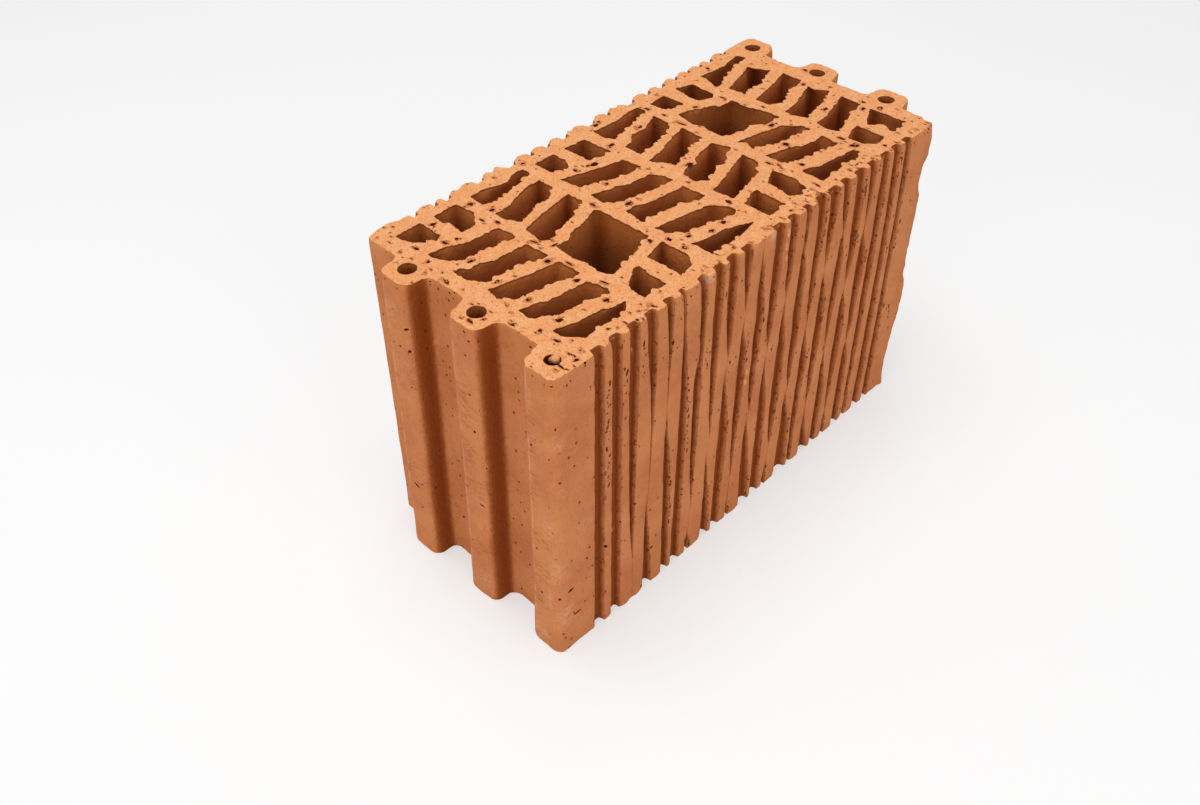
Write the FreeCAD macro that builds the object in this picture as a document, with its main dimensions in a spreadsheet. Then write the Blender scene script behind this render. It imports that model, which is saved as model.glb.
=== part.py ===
import FreeCAD, Part
import math
import os

import Sketcher
from FreeCAD import Vector

# The hollow clay block stands on its bed face: X along its length, Y across its width, Z up the
# cells, with the origin in the middle of the bottom. Sizes are in millimetres.

# Driving dimensions: name, value and what it measures
SIZES = (
    ("block_length", 284.0, "length between the outer faces of the end walls"),
    ("block_width", 140.0, "width over the ribs of the long faces"),
    ("block_height", 190.0, "height, the length cut from the extruded clay"),
    ("end_wall", 9.5, "wall between an end and its column of cells"),
    ("side_wall", 10.0, "wall along each long face, measured over the ribs"),
    ("cross_web", 6.2, "web between two columns of cells"),
    ("slanted_web", 6.3, "slanted web between two cells of a column, along Y"),
    ("slant_rise", 8.2, "rise or fall of a slanted web across its column"),
    ("back_band", 18.0, "from the +Y wall to the middle of the first slanted web"),
    ("front_band", 19.6, "from the -Y wall to the middle of the last slanted web"),
    ("divider_web", 6.5, "short web that halves the band at one end of a column"),
    ("cell_corner", 2.5, "radius in the corners of the cells"),
    ("tongue_depth", 13.5, "how far the tongues stand out from the end walls"),
    ("tongue_slant", 3.7, "how much wider a tongue is at its root than at its tip"),
    ("tongue_clearance", 2.0, "gap beside each tongue when two blocks meet"),
    ("outer_corner", 5.0, "radius of the upright outer corners"),
    ("root_corner", 3.5, "radius of the hollow corners beside the tongues"),
    ("core_radius", 4.4, "radius of the round hole down each tongue"),
    ("core_inset", 11.0, "from a tongue's tip to the middle of its round hole"),
    ("groove_pitch", 11.7, "distance from one groove of a long face to the next"),
    ("groove_mouth", 6.4, "width of a groove at the face"),
    ("groove_floor", 4.4, "width of a groove at its bottom"),
    ("groove_depth", 3.2, "depth of a groove"),
    ("groove_start", 15.5, "from the end with the flush tongue to the first groove"),
    ("groove_end", 22.0, "least distance from the last groove to the other end"),
)

COLUMNS = 6
WEBS = 5
TONGUES = 3
TOUCH = 0.01

doc = FreeCAD.newDocument("hollow_clay_block")
sheet = doc.addObject("Spreadsheet::Sheet", "sizes")
for row, (alias, number, meaning) in enumerate(SIZES, start=1):
    sheet.set(f"A{row}", alias)
    sheet.set(f"B{row}", str(number))
    sheet.set(f"C{row}", meaning)
    sheet.setAlias(f"B{row}", alias)
doc.recompute()

# Lengths and places that follow from the driving dimensions, as expressions on the sheet
HALF_LENGTH = "(sizes.block_length / 2)"
HALF_WIDTH = "(sizes.block_width / 2)"
TIP = f"({HALF_LENGTH} + sizes.tongue_depth)"
CELLS_START = f"(sizes.end_wall - {HALF_LENGTH})"
CELL_SPAN = f"((-2 * {CELLS_START} - {COLUMNS - 1} * sizes.cross_web) / {COLUMNS})"
COLUMN_PITCH = f"({CELL_SPAN} + sizes.cross_web)"
BACK = f"({HALF_WIDTH} - sizes.side_wall)"
FRONT = f"(-{BACK})"
WEB_PITCH = f"((2 * {BACK} - sizes.back_band - sizes.front_band) / {WEBS - 1})"
NARROW_END = "(min(sizes.back_band; sizes.front_band) - sizes.slant_rise - sizes.slanted_web / 2)"
CELL_RADIUS = f"min(sizes.cell_corner; 0.4 * {NARROW_END})"
TONGUE_PITCH = f"((sizes.block_width + sizes.tongue_clearance) / {TONGUES})"
TIP_WIDTH = f"(({TONGUE_PITCH} - 2 * sizes.tongue_clearance - sizes.tongue_slant) / 2)"
ROOT_WIDTH = f"({TIP_WIDTH} + sizes.tongue_slant)"
GROOVED = "(sizes.block_length - sizes.groove_start - sizes.groove_end)"
GROOVES = f"(floor({GROOVED} / sizes.groove_pitch) + 1)"


def measure(expression):
    """The number that an expression gives with the sheet's present sizes."""
    return float(sheet.evalExpression(expression))


def origin_part(body, role):
    """One of the body's own origin planes or axes."""
    return next(part for part in body.Origin.OriginFeatures if part.Role == role)


def bed_sketch(body, name):
    """A sketch on the bed plane, seen from above."""
    sketch = body.newObject("Sketcher::SketchObject", name)
    sketch.AttachmentSupport = (origin_part(body, "XY_Plane"), [""])
    sketch.MapMode = "FlatFace"
    return sketch


def held(kind, side, point, expression):
    """A constraint that holds a point at its distance from the origin, and its expression."""
    return Sketcher.Constraint(kind, -1, 1, side, point, measure(expression)), expression


def add_constraints(sketch, joined, sized):
    """Add the constraints that join sides, and then those that have an expression."""
    sketch.addConstraint(joined + [constraint for constraint, expression in sized])
    first = sketch.ConstraintCount - len(sized)
    for place, (constraint, expression) in enumerate(sized, start=first):
        sketch.setExpression(f"Constraints[{place}]", expression)


def draw_corners(sketch, corners):
    """Draw a closed shape through corners, each a pair of expressions for x and y."""
    places = [Vector(measure(x), measure(y), 0) for x, y in corners]
    first, count = sketch.GeometryCount, len(corners)
    ends = places[1:] + places[:1]
    sketch.addGeometry([Part.LineSegment(start, end) for start, end in zip(places, ends)])
    joined, sized = [], []
    for number, (x, y) in enumerate(corners):
        side, following = first + number, first + (number + 1) % count
        joined.append(Sketcher.Constraint("Coincident", side, 2, following, 1))
        sized += [held("DistanceX", side, 1, x), held("DistanceY", side, 1, y)]
    add_constraints(sketch, joined, sized)


def draw_rounded(sketch, corners, radius):
    """Draw a closed shape as draw_corners does, anticlockwise, with every corner rounded."""
    places = [Vector(measure(x), measure(y), 0) for x, y in corners]
    first, count, size = sketch.GeometryCount, len(corners), measure(radius)
    sides, arcs, points = [], [], []
    for before, place, after in zip(places[-1:] + places, places, places[1:] + places[:1]):
        back, on = (before - place).normalize(), (after - place).normalize()
        half_angle = back.getAngle(on) / 2
        middle = place + (back + on).normalize() * (size / math.sin(half_angle))
        reach = size / math.tan(half_angle)
        start, end = place + back * reach, place + on * reach
        crown = middle + (place - middle).normalize() * size
        arcs.append(Part.Arc(start, crown, end))
        sides.append((start, end))
        points.append(Part.Point(place))
    lines = [Part.LineSegment(sides[n][1], sides[(n + 1) % count][0]) for n in range(count)]
    sketch.addGeometry(lines + arcs)
    sketch.addGeometry(points, True)
    joined, sized = [], []
    for number, (x, y) in enumerate(corners):
        line, arc, point = (first + number + step * count for step in range(3))
        line_before = first + (number - 1) % count
        joined.append(Sketcher.Constraint("Tangent", line_before, 2, arc, 1))
        joined.append(Sketcher.Constraint("Tangent", arc, 2, line, 1))
        joined.append(Sketcher.Constraint("PointOnObject", point, 1, line_before))
        joined.append(Sketcher.Constraint("PointOnObject", point, 1, line))
        sized.append((Sketcher.Constraint("Radius", arc, size), radius))
        sized += [held("DistanceX", point, 1, x), held("DistanceY", point, 1, y)]
    add_constraints(sketch, joined, sized)


def draw_circle(sketch, x, y, radius):
    """Draw a circle from the expressions for its centre and its radius."""
    middle = Vector(measure(x), measure(y), 0)
    number = sketch.addGeometry(Part.Circle(middle, Vector(0, 0, 1), measure(radius)))
    size = (Sketcher.Constraint("Radius", number, measure(radius)), radius)
    sized = [held("DistanceX", number, 3, x), held("DistanceY", number, 3, y), size]
    add_constraints(sketch, [], sized)


def raise_clay(body, sketch, name):
    """Pad a sketch to the full height of the block."""
    pad = body.newObject("PartDesign::Pad", name)
    pad.Profile = sketch
    pad.setExpression("Length", "sizes.block_height")
    doc.recompute()
    return pad


def cut_through(body, sketch, name):
    """Pocket a sketch upwards, right through, and make sure that it takes clay away."""
    before = body.Shape.Volume
    pocket = body.newObject("PartDesign::Pocket", name)
    pocket.Profile = sketch
    pocket.Type = "ThroughAll"
    pocket.Reversed = True
    doc.recompute()
    if body.Shape.Volume >= before:
        raise RuntimeError(f"{name} cuts nothing")
    return pocket


def repeat(body, feature, name, role, pitch, count):
    """Repeat a feature along one of the body's own axes."""
    pattern = body.newObject("PartDesign::LinearPattern", name)
    pattern.Originals = [feature]
    pattern.Direction = (origin_part(body, role), [""])
    pattern.setExpression("Length", f"{pitch} * ({count} - 1)")
    pattern.setExpression("Occurrences", f"{count}")
    pattern.Refine = True
    body.Tip = pattern
    doc.recompute()
    return pattern


def round_corners(body, name, radius, wanted):
    """Round the upright edges whose place, seen from above, is wanted."""
    base = body.Tip
    names = []
    for number, edge in enumerate(base.Shape.Edges, start=1):
        start, end = edge.Vertexes[0].Point, edge.Vertexes[-1].Point
        upright = start.sub(end).cross(Vector(0, 0, 1)).Length < TOUCH < abs(start.z - end.z)
        if upright and wanted(start.x, start.y):
            names.append(f"Edge{number}")
    fillet = body.newObject("PartDesign::Fillet", name)
    fillet.Base = (base, names)
    fillet.setExpression("Radius", radius)
    doc.recompute()
    return fillet


def add_block(body):
    """The plain block between the two ends."""
    outline = bed_sketch(body, "block_outline")
    low_x, low_y = f"-{HALF_LENGTH}", f"-{HALF_WIDTH}"
    corners = [(low_x, low_y), (HALF_LENGTH, low_y), (HALF_LENGTH, HALF_WIDTH), (low_x, HALF_WIDTH)]
    draw_corners(outline, corners)
    raise_clay(body, outline, "block")


def add_tongues(body):
    """Three tongues on each end, each straight on one flank and slanted on the other.

    Half a turn about Z carries one end onto the other, so that the tongues of one block go
    between the tongues of the next. The outermost tongue is flush with a long face.
    """
    outline = bed_sketch(body, "tongue_outline")
    near = f"-{HALF_WIDTH}"
    far = f"({HALF_WIDTH} - {TONGUES - 1} * {TONGUE_PITCH})"
    near_tongue = [
        (f"-{HALF_LENGTH}", near),
        (f"-{HALF_LENGTH}", f"({near} + {ROOT_WIDTH})"),
        (f"-{TIP}", f"({near} + {TIP_WIDTH})"),
        (f"-{TIP}", near),
    ]
    far_tongue = [
        (HALF_LENGTH, far),
        (HALF_LENGTH, f"({far} - {ROOT_WIDTH})"),
        (TIP, f"({far} - {TIP_WIDTH})"),
        (TIP, far),
    ]
    draw_corners(outline, near_tongue)
    draw_corners(outline, far_tongue)
    tongues = raise_clay(body, outline, "tongue_pair")
    repeat(body, tongues, "tongues", "Y_Axis", TONGUE_PITCH, TONGUES)


def round_outside(body):
    """Round the outer upright corners and the hollow corners beside the tongues."""
    half_length, half_width, tip = measure(HALF_LENGTH), measure(HALF_WIDTH), measure(TIP)

    def outer(x, y):
        at_tip = abs(abs(x) - tip) < TOUCH
        at_recess = abs(abs(x) - half_length) < TOUCH and abs(abs(y) - half_width) < TOUCH
        return at_tip or at_recess

    def root(x, y):
        return abs(abs(x) - half_length) < TOUCH and abs(y) < half_width - TOUCH

    round_corners(body, "outer_corners", "sizes.outer_corner", outer)
    round_corners(body, "root_corners", "sizes.root_corner", root)


def cut_cores(body):
    """A round hole down each tongue."""
    outline = bed_sketch(body, "core_outline")
    x = f"({TIP} - sizes.core_inset)"
    from_flank = f"(({TIP_WIDTH} + {ROOT_WIDTH}) / 4)"
    far = f"({HALF_WIDTH} - {TONGUES - 1} * {TONGUE_PITCH})"
    draw_circle(outline, f"-{x}", f"({from_flank} - {HALF_WIDTH})", "sizes.core_radius")
    draw_circle(outline, x, f"({far} - {from_flank})", "sizes.core_radius")
    cores = cut_through(body, outline, "core_pair")
    repeat(body, cores, "cores", "Y_Axis", TONGUE_PITCH, TONGUES)


def cut_grooves(body):
    """The plaster key: upright grooves along both long faces, tapered towards their floors."""
    outline = bed_sketch(body, "groove_outline")
    front_x = f"(sizes.groove_start - {HALF_LENGTH})"
    back_x = f"(-{front_x} - ({GROOVES} - 1) * sizes.groove_pitch)"
    for x, side in ((front_x, "-"), (back_x, "")):
        face = f"{side}{HALF_WIDTH}"
        floor = f"{side}({HALF_WIDTH} - sizes.groove_depth)"
        groove = [
            (f"({x} - sizes.groove_mouth / 2)", face),
            (f"({x} + sizes.groove_mouth / 2)", face),
            (f"({x} + sizes.groove_floor / 2)", floor),
            (f"({x} - sizes.groove_floor / 2)", floor),
        ]
        draw_corners(outline, groove)
    grooves = cut_through(body, outline, "groove_pair")
    repeat(body, grooves, "grooves", "X_Axis", "sizes.groove_pitch", GROOVES)


def web_middle(web, rise, share):
    """Where the middle of a slanted web lies in Y, at a share of the way across its column."""
    return f"({BACK} - sizes.back_band - {web} * {WEB_PITCH} + {rise} * {share})"


def web_face(web, rise, share, side):
    """Where one face of a slanted web lies in Y."""
    return f"({web_middle(web, rise, share)} {side} sizes.slanted_web / 2)"


def cell_corners(column, rise, above, below, shares=("0", "1")):
    """The corners of one cell between the web above it and the web below it.

    A web of -1 stands for the back wall and one past the last for the front wall.
    """
    left, right = shares
    start = f"({CELLS_START} + {column} * {COLUMN_PITCH})"
    left_x = f"({start} + {left} * {CELL_SPAN})"
    right_x = f"({start} + {right} * {CELL_SPAN})"
    tops = [BACK if above < 0 else web_face(above, rise, share, "-") for share in shares]
    bottoms = [FRONT if below >= WEBS else web_face(below, rise, share, "+") for share in shares]
    return [(left_x, bottoms[0]), (right_x, bottoms[1]), (right_x, tops[1]), (left_x, tops[0])]


def cut_columns(body, name, column, rise, halved_band):
    """Cut the cells of one column, and of every second column after it.

    The slanted webs of a column are parallel, and those of the next one slant the other way.
    The band at one end is halved by a short web.
    """
    half_divider = f"(sizes.divider_web / 2 / {CELL_SPAN})"
    halves = (("0", f"(0.5 - {half_divider})"), (f"(0.5 + {half_divider})", "1"))
    outline = bed_sketch(body, f"{name}_outline")
    for band in range(WEBS + 1):
        for shares in halves if band == halved_band else (("0", "1"),):
            draw_rounded(outline, cell_corners(column, rise, band - 1, band, shares), CELL_RADIUS)
    cells = cut_through(body, outline, f"{name}_column")
    repeat(body, cells, f"{name}_columns", "X_Axis", f"2 * {COLUMN_PITCH}", COLUMNS // 2)


def cut_grip(body, name, column, rise, web):
    """Leave one slanted web out, so that two cells become a large one to lift the block by."""
    outline = bed_sketch(body, f"{name}_outline")
    left_x = f"({CELLS_START} + {column} * {COLUMN_PITCH})"
    right_x = f"({left_x} + {CELL_SPAN})"
    left_y, right_y = web_middle(web, rise, "0"), web_middle(web, rise, "1")
    reach = f"({WEB_PITCH} / 2)"
    corners = [
        (left_x, f"({left_y} - {reach})"),
        (right_x, f"({right_y} - {reach})"),
        (right_x, f"({right_y} + {reach})"),
        (left_x, f"({left_y} + {reach})"),
    ]
    draw_corners(outline, corners)
    cut_through(body, outline, name)


def make_clay_block():
    """The whole block, extruded and fired as one piece of clay."""
    body = doc.addObject("PartDesign::Body", "clay_block")
    body.Label = "clay_block"
    falling, rising = "-sizes.slant_rise", "sizes.slant_rise"
    add_block(body)
    add_tongues(body)
    round_outside(body)
    cut_cores(body)
    cut_grooves(body)
    cut_columns(body, "falling", 0, falling, halved_band=0)
    cut_columns(body, "rising", 1, rising, halved_band=WEBS)
    cut_grip(body, "low_grip", 1, rising, web=3)
    cut_grip(body, "high_grip", 4, falling, web=1)
    body.Placement = FreeCAD.Placement()
    return body


def check_document():
    """Stop if any object of the document failed to build."""
    for item in doc.Objects:
        if "Invalid" in item.State or "Error" in item.State:
            raise RuntimeError(f"{item.Label} failed: {item.State}")


def write_part(body):
    """Check the finished body and write its solid."""
    shape = body.Shape
    if shape.isNull() or not shape.isValid() or len(shape.Solids) != 1:
        raise RuntimeError(f"{body.Label} isn't one valid solid")
    os.makedirs("parts", exist_ok=True)
    shape.exportStep(f"parts/{body.Label}.step")
    box = shape.BoundBox
    print(f"{body.Label}: {box.XLength:.1f} x {box.YLength:.1f} x {box.ZLength:.1f} mm,")
    print(f"{shape.Volume / 1e6:.3f} litres of clay, {len(shape.Faces)} faces")


clay_block = make_clay_block()
doc.recompute()
check_document()
write_part(clay_block)
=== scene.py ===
import math
import random

import bmesh
import bpy
import numpy as np
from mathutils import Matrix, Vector, kdtree, noise
from mathutils.bvhtree import BVHTree
from mathutils.geometry import delaunay_2d_cdt


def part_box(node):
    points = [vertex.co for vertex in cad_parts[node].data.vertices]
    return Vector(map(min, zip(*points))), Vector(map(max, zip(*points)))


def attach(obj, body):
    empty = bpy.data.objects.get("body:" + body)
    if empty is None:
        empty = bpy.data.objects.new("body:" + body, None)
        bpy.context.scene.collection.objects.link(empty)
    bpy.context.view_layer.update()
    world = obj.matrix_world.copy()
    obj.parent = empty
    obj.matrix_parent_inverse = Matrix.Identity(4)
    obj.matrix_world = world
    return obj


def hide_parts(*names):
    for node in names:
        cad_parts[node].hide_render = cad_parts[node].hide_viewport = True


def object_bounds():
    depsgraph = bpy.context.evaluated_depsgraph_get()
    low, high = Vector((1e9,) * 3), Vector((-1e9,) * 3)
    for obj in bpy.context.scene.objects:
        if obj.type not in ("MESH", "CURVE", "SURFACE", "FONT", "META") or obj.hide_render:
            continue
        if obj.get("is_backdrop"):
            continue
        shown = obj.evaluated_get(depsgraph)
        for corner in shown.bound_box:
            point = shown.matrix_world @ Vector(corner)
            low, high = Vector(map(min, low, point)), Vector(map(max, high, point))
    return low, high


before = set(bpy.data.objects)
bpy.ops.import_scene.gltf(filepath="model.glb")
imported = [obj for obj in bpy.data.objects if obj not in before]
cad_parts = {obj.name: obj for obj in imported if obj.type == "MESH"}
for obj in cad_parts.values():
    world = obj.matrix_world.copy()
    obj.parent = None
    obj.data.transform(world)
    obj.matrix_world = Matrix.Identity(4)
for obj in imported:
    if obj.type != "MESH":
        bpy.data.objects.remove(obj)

# The block is drawn in millimetres in the frame's own axes, and turned into metres at the end
MM = 0.001
CAD_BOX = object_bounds()
LOW, HIGH = (np.array(corner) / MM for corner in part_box("clay_block"))
TIP = float(HIGH[0])
HALF_WIDTH = float(HIGH[1])
HEIGHT = float(HIGH[2])

# Tongues and recesses of the ends
TONGUES = 3
TONGUE_DEPTH = 13.5
TONGUE_CLEARANCE = 2.0
TONGUE_PITCH = (2 * HALF_WIDTH + TONGUE_CLEARANCE) / TONGUES
TIP_WIDTH = 19.8
ROOT_WIDTH = 23.5
TIP_ROUND = 6.0
ROOT_ROUND_STRAIGHT = 5.0
ROOT_ROUND_SLANTED = 2.0
OUTER_ROUND = 5.0
FAR_ROUND = 2.2
ROUND_STEPS = 5
END_STEP = 2.4
CORE_RADIUS = 4.4
CHOKED_RADIUS = 3.6
CORE_INSET = 11.0
CORE_SIDES = 26
HALF_LENGTH = TIP - TONGUE_DEPTH

# Where the points of a long face and of an end start and stop along X
FACE_START = 10.4 - TIP
FACE_STOP = HALF_LENGTH - 4.5
END_START = HALF_LENGTH - 3.0
END_STOP = TIP - 8.0

# Painted shade and pale seams of the ends: a flank in a recess is painted dark as shade from where it
# runs this much sideways, and fully so this much further on, but not this close to the back face. A
# pale seam runs down each tip at this inset, this wide to either side.
FLANK_FROM = 0.45
FLANK_RISE = 0.52
PALE_BACK = 9.0
SEAM_INSET = 3.03
SEAM_REACH = 0.4
TIP_DEPTH = 0.6

# Cells and webs
END_WALL = 9.5
SIDE_WALL = 10.0
BACK_BAND = 18.0
WEBS = 5
COLUMN_PITCH = 45.2
CELL_SPAN = 39.0
CELLS_START = END_WALL - HALF_LENGTH
BACK = HALF_WIDTH - SIDE_WALL
FIRST_WEB = BACK - BACK_BAND
WEB_PITCH = 20.6
SLANTED_WEB = 6.3
SLANT_RISE = 8.2
DIVIDER_WEB = 6.5
COARSE_STEP = 2.55
FINE_PER_COARSE = 3

# How often the clean and the torn outline of a cell are smoothed, and the painted shade of its
# corners
CLEAN_PASSES = 15
TORN_PASSES = 2
SHADE_PASSES = 40

# The lobes of torn clay that hang over the cells, and the small teeth between them
LOBE_RADII = (0.9, 2.5)
LOBE_GAPS = (1.6, 10.0)
TEETH = 0.52

# The rings down a cell's wall, and how much of the torn rim each of them takes on, first where clay
# hangs over the cell and then where it is torn out of the wall. The fine ones have every point.
CELL_HEIGHTS = (190.0, 189.3, 188.2, 186.4, 183.0, 176.5, 160.0, 90.0, 10.0, 2.2, 0.0)
LIP_SHARES = (1.0, 1.0, 0.8, 0.4, 0.12, 0.0) + (0.0,) * 5
BITE_SHARES = (1.0, 1.0, 0.97, 0.85, 0.65, 0.35, 0.1) + (0.0,) * 4
FINE_LEVELS = 4

# The rings of the outside, closest together where the edges are worn. The first few, like those of
# the cells, follow the unevenness of the cut face.
SKIN_HEIGHTS = [190.0, 189.5, 188.8, 187.6, 185.8, 183.4, 180.6]
SKIN_HEIGHTS += list(np.linspace(177.5, 9.0, 46))
SKIN_HEIGHTS += [6.5, 4.4, 2.8, 1.6, 0.7, 0.0]
CUT_LEVELS = 4

# The distance between points inside the cut faces, how clear of every edge they stay, and by what
# share of the distance they are off their places
TOP_STEP = 2.9
TOP_CLEARANCE = 1.3
FOOT_STEP = 4.2
FOOT_CLEARANCE = 1.6
JITTER = 0.4

# What the clay's hollow attribute says of a point: one of these, or how deep the point lies in a
# groove, from 0 to 1. The material paints shade from it in the grooves, in the recesses of the ends,
# down the cells, under their rims, in their corners and grips and down the cores, which are darkest
# where choked; below 0 it paints a pale seam.
SEAM_SHADE = -1.0
RIM_SHADE = 1.0
CELL_SHADE = 1.9
GRIP_SHADE = 2.3
CORNER_SHADE = 2.9
CORE_SHADE = 3.0
CHOKED_SHADE = 4.0

# Plaster grooves of the long faces
GROOVE_PITCH = 11.7
GROOVE_INSET = 15.5
FIRST_GROOVE = GROOVE_INSET - HALF_LENGTH
GROOVE_MOUTH = 6.6
GROOVE_DEPTH = 3.4
CREASE = 0.6
CREASE_DEPTH = 0.06 * GROOVE_DEPTH
OPEN_WIDTH = 2.0
SHUT_WIDTH = 0.5
FULL_WIDTH = 2.9

# The plain strips before the first groove and after the last, and the ribs, which bulge between the
# grooves: all of the bulge from this width on, and points at these shares of it
PLAIN_STOP = -133.0
LAST_STRIP = 12.0
FULL_RIB = 6.0
RIB_SHARES = (0.33, 0.67)
CROWN_HEIGHT = 150.0

# Across a groove, as shares of its width and depth, and the rounded edges beside it in millimetres
GROOVE_SECTION = ((0, 0.1), (0.06, 0.5), (0.16, 0.95), (0.5, 1), (0.85, 1), (0.95, 0.62), (1, 0.03))
PLAIN_SECTION = ((0, 0.1), (0.14, 0.9), (0.87, 1), (1, 0.05))
ROUND_BEFORE = 1.1
ROUND_AFTER = 0.4

# How far an edge is worn back and over what height, and how far chips reach and over what height
TOP_WEAR = (0.45, 0.45, 1.0, 2.2)
FOOT_WEAR = (0.3, 0.4, 0.6, 1.6)

# The far corner of the front face: where it lies, and at each height how far it stands out, or is
# torn away
CORNER_START = 134.0
CORNER_LENGTH = 7.0
CORNER_FRONT = -62.0
FAR_EDGE = (
    (0, 1.5), (8, 0), (20, -0.5), (45, 0.5), (62, 1.8), (76, 1.9), (84, 1.2), (88, 0), (100, -0.4),
    (145, -0.5), (149, -2.4), (164, -2.2), (168, -0.6), (181, -0.3), (186, -1.2), (190, -1.8),
)

# How far the clay of the -X end sank towards +Y before it dried, at each height and place across
SUNK_START = -118.0
SUNK_LENGTH = 24.0
SUNK_UP = ((0, 4.0), (40, 3.3), (100, 1.1), (190, -0.7))
SUNK_ACROSS = ((-70, 0.3), (-50, 0.45), (-20, 0.75), (48, 1.0), (60, 0.6), (70, 0.4))

# The corner of the -X end and the back face, which was rubbed round
NEAR_CORNER_REACH = 5.0
NEAR_CORNER_PASSES = 8

# How often the outside is smoothed before its outward directions are taken, and how many rounds of
# smoothing a loop gets at most where it crosses itself
NORMAL_PASSES = 14
UNTANGLING_ROUNDS = 30

# Each groove of the front face from the top down: a height, and where the groove's left and right
# edges lie there. Where the two meet, the ribs beside the groove have closed over it.
FRONT_GROOVES = (
    ((190, -130, -123.5), (0, -130, -123)),
    ((190, -118.5, -112), (0, -118, -111)),
    ((190, -107.3, -100.3), (145, -107, -100.8), (100, -106, -101), (60, -104.5, -101.2),
     (30, -102.2, -101.6), (0, -102, -101.4)),
    ((190, -96, -89), (170, -95, -88.3), (145, -92.3, -88.5), (120, -90.8, -89.3), (75, -91.5, -90.9),
     (66, -93, -92), (30, -93, -88), (0, -93, -86)),
    ((190, -82.8, -77), (172, -81, -78), (150, -80, -78.6), (122, -80, -79.4), (85, -80, -75),
     (60, -79, -73.6), (30, -78.5, -73), (0, -78, -72.5)),
    ((190, -72, -69.5), (168, -70, -68.3), (130, -69.5, -64), (70, -69.5, -63.5), (0, -70, -63)),
    ((190, -59.3, -53.5), (165, -57.5, -53.5), (145, -56.5, -54), (130, -59.5, -53.6),
     (100, -59, -53.5), (70, -58, -54), (36, -55.2, -54.6), (16, -56.8, -56.2), (8, -57.5, -54),
     (0, -57.5, -54)),
    ((190, -48, -41), (160, -48, -41.3), (130, -47, -42), (100, -45.2, -42.3), (80, -43.5, -42.9),
     (68, -45, -44.4), (38, -44, -40), (20, -44, -38.5), (0, -44.5, -37)),
    ((190, -38.3, -31), (160, -37.3, -31), (145, -35.8, -31.3), (128, -33.5, -32.9), (118, -34.7, -34),
     (100, -35, -31), (85, -35, -28.2), (65, -35.3, -27), (30, -35, -28.3), (0, -34.5, -27.5)),
    ((190, -27.3, -20), (170, -25, -21), (152, -22.5, -21.9), (144, -23.2, -22.5), (125, -23.4, -18),
     (105, -23.6, -17), (80, -23.2, -17.6), (60, -22.5, -19.2), (32, -20.7, -20.1), (12, -21.6, -20.8),
     (2, -21.5, -18.5)),
    ((190, -12.7, -12.1), (181, -12.7, -12), (160, -12.6, -8), (145, -12.4, -5.4), (120, -12.2, -6.3),
     (100, -12, -7.3), (85, -10.8, -7.6), (76, -9.3, -8.7), (70, -10.7, -10), (50, -11.4, -6),
     (30, -10.8, -3), (0, -9, -0.5)),
    ((190, -2.2, 5.5), (160, -2.2, 5), (130, -1.3, 3.8), (113, 1, 1.6), (105, 0.1, 0.8), (82, -0.2, 5),
     (65, 0, 7.6), (40, 0.6, 8), (0, 1.5, 9.5)),
    ((190, 9.2, 15.8), (170, 9.8, 15.6), (150, 11.2, 15), (142, 12.6, 13.2), (137, 12.1, 12.8),
     (105, 11.2, 18.6), (80, 11.2, 19), (60, 11.8, 18.6), (45, 13, 17), (33, 15, 15.6),
     (18, 13.8, 14.6), (8, 13, 16.2), (0, 13, 16)),
    ((190, 22.3, 27), (170, 23.2, 25.6), (164, 22.8, 25), (148, 22.4, 29.2), (120, 22.8, 29.6),
     (100, 23.6, 29.8), (80, 25, 28.4), (71, 26.5, 27.1), (66, 25.5, 26.2), (50, 25.2, 30),
     (38, 25.2, 34), (0, 25, 36)),
    ((190, 32.3, 40.8), (170, 34.5, 41), (150, 34.2, 40), (130, 35.2, 39.8), (110, 37.1, 37.7),
     (106, 36.7, 37.6), (90, 36, 41), (80, 36, 43.6), (60, 36, 42), (30, 36.6, 40.8), (0, 38.5, 42)),
    ((190, 42.5, 51.5), (175, 44, 52), (160, 45, 50), (141, 46.9, 47.5), (137, 46.7, 47.6),
     (125, 46.6, 51), (108, 46.6, 54), (85, 47, 53.8), (60, 48, 52.4), (41, 49.4, 50), (37, 49.2, 50),
     (22, 49.3, 53.2), (0, 50, 59)),
    ((190, 54.3, 61), (170, 57.3, 62), (157, 60.1, 60.7), (154, 59.4, 61.4), (140, 58.6, 65),
     (120, 58.4, 64.6), (100, 58.6, 63), (88, 59.6, 62.2), (79, 60.8, 61.4), (76, 60.4, 61.3),
     (60, 60.3, 64.5), (42, 61, 68), (15, 61.5, 67.5), (0, 62, 67)),
    ((190, 66, 75), (170, 67.6, 76.6), (150, 69.2, 76), (132, 70, 76), (118, 71.2, 71.8),
     (113, 70.7, 71.8), (100, 70.3, 76), (85, 70.3, 78), (60, 70.8, 77.2), (40, 72, 76), (21, 73.4, 74),
     (16, 73, 75), (0, 73, 76.5)),
    ((190, 78.3, 85.2), (170, 80.6, 85), (150, 81.7, 82.3), (147, 81.3, 82.6), (128, 81, 89.4),
     (105, 81.6, 89), (80, 83.4, 88), (69, 84.4, 85), (64, 83.6, 87), (50, 83.4, 90.4), (20, 84, 91),
     (0, 85, 91.5)),
    ((190, 90, 97.5), (150, 92, 98), (110, 93, 99.6), (60, 94.5, 100), (25, 95.5, 99), (0, 96, 99.5)),
    ((190, 100.3, 107.8), (150, 104, 109.4), (110, 105.5, 111.5), (60, 106.6, 113), (0, 107.5, 114)),
    ((190, 111.3, 117.6), (150, 115, 119.8), (90, 117, 121.6), (50, 118, 124), (0, 119, 124.5)),
)

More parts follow.
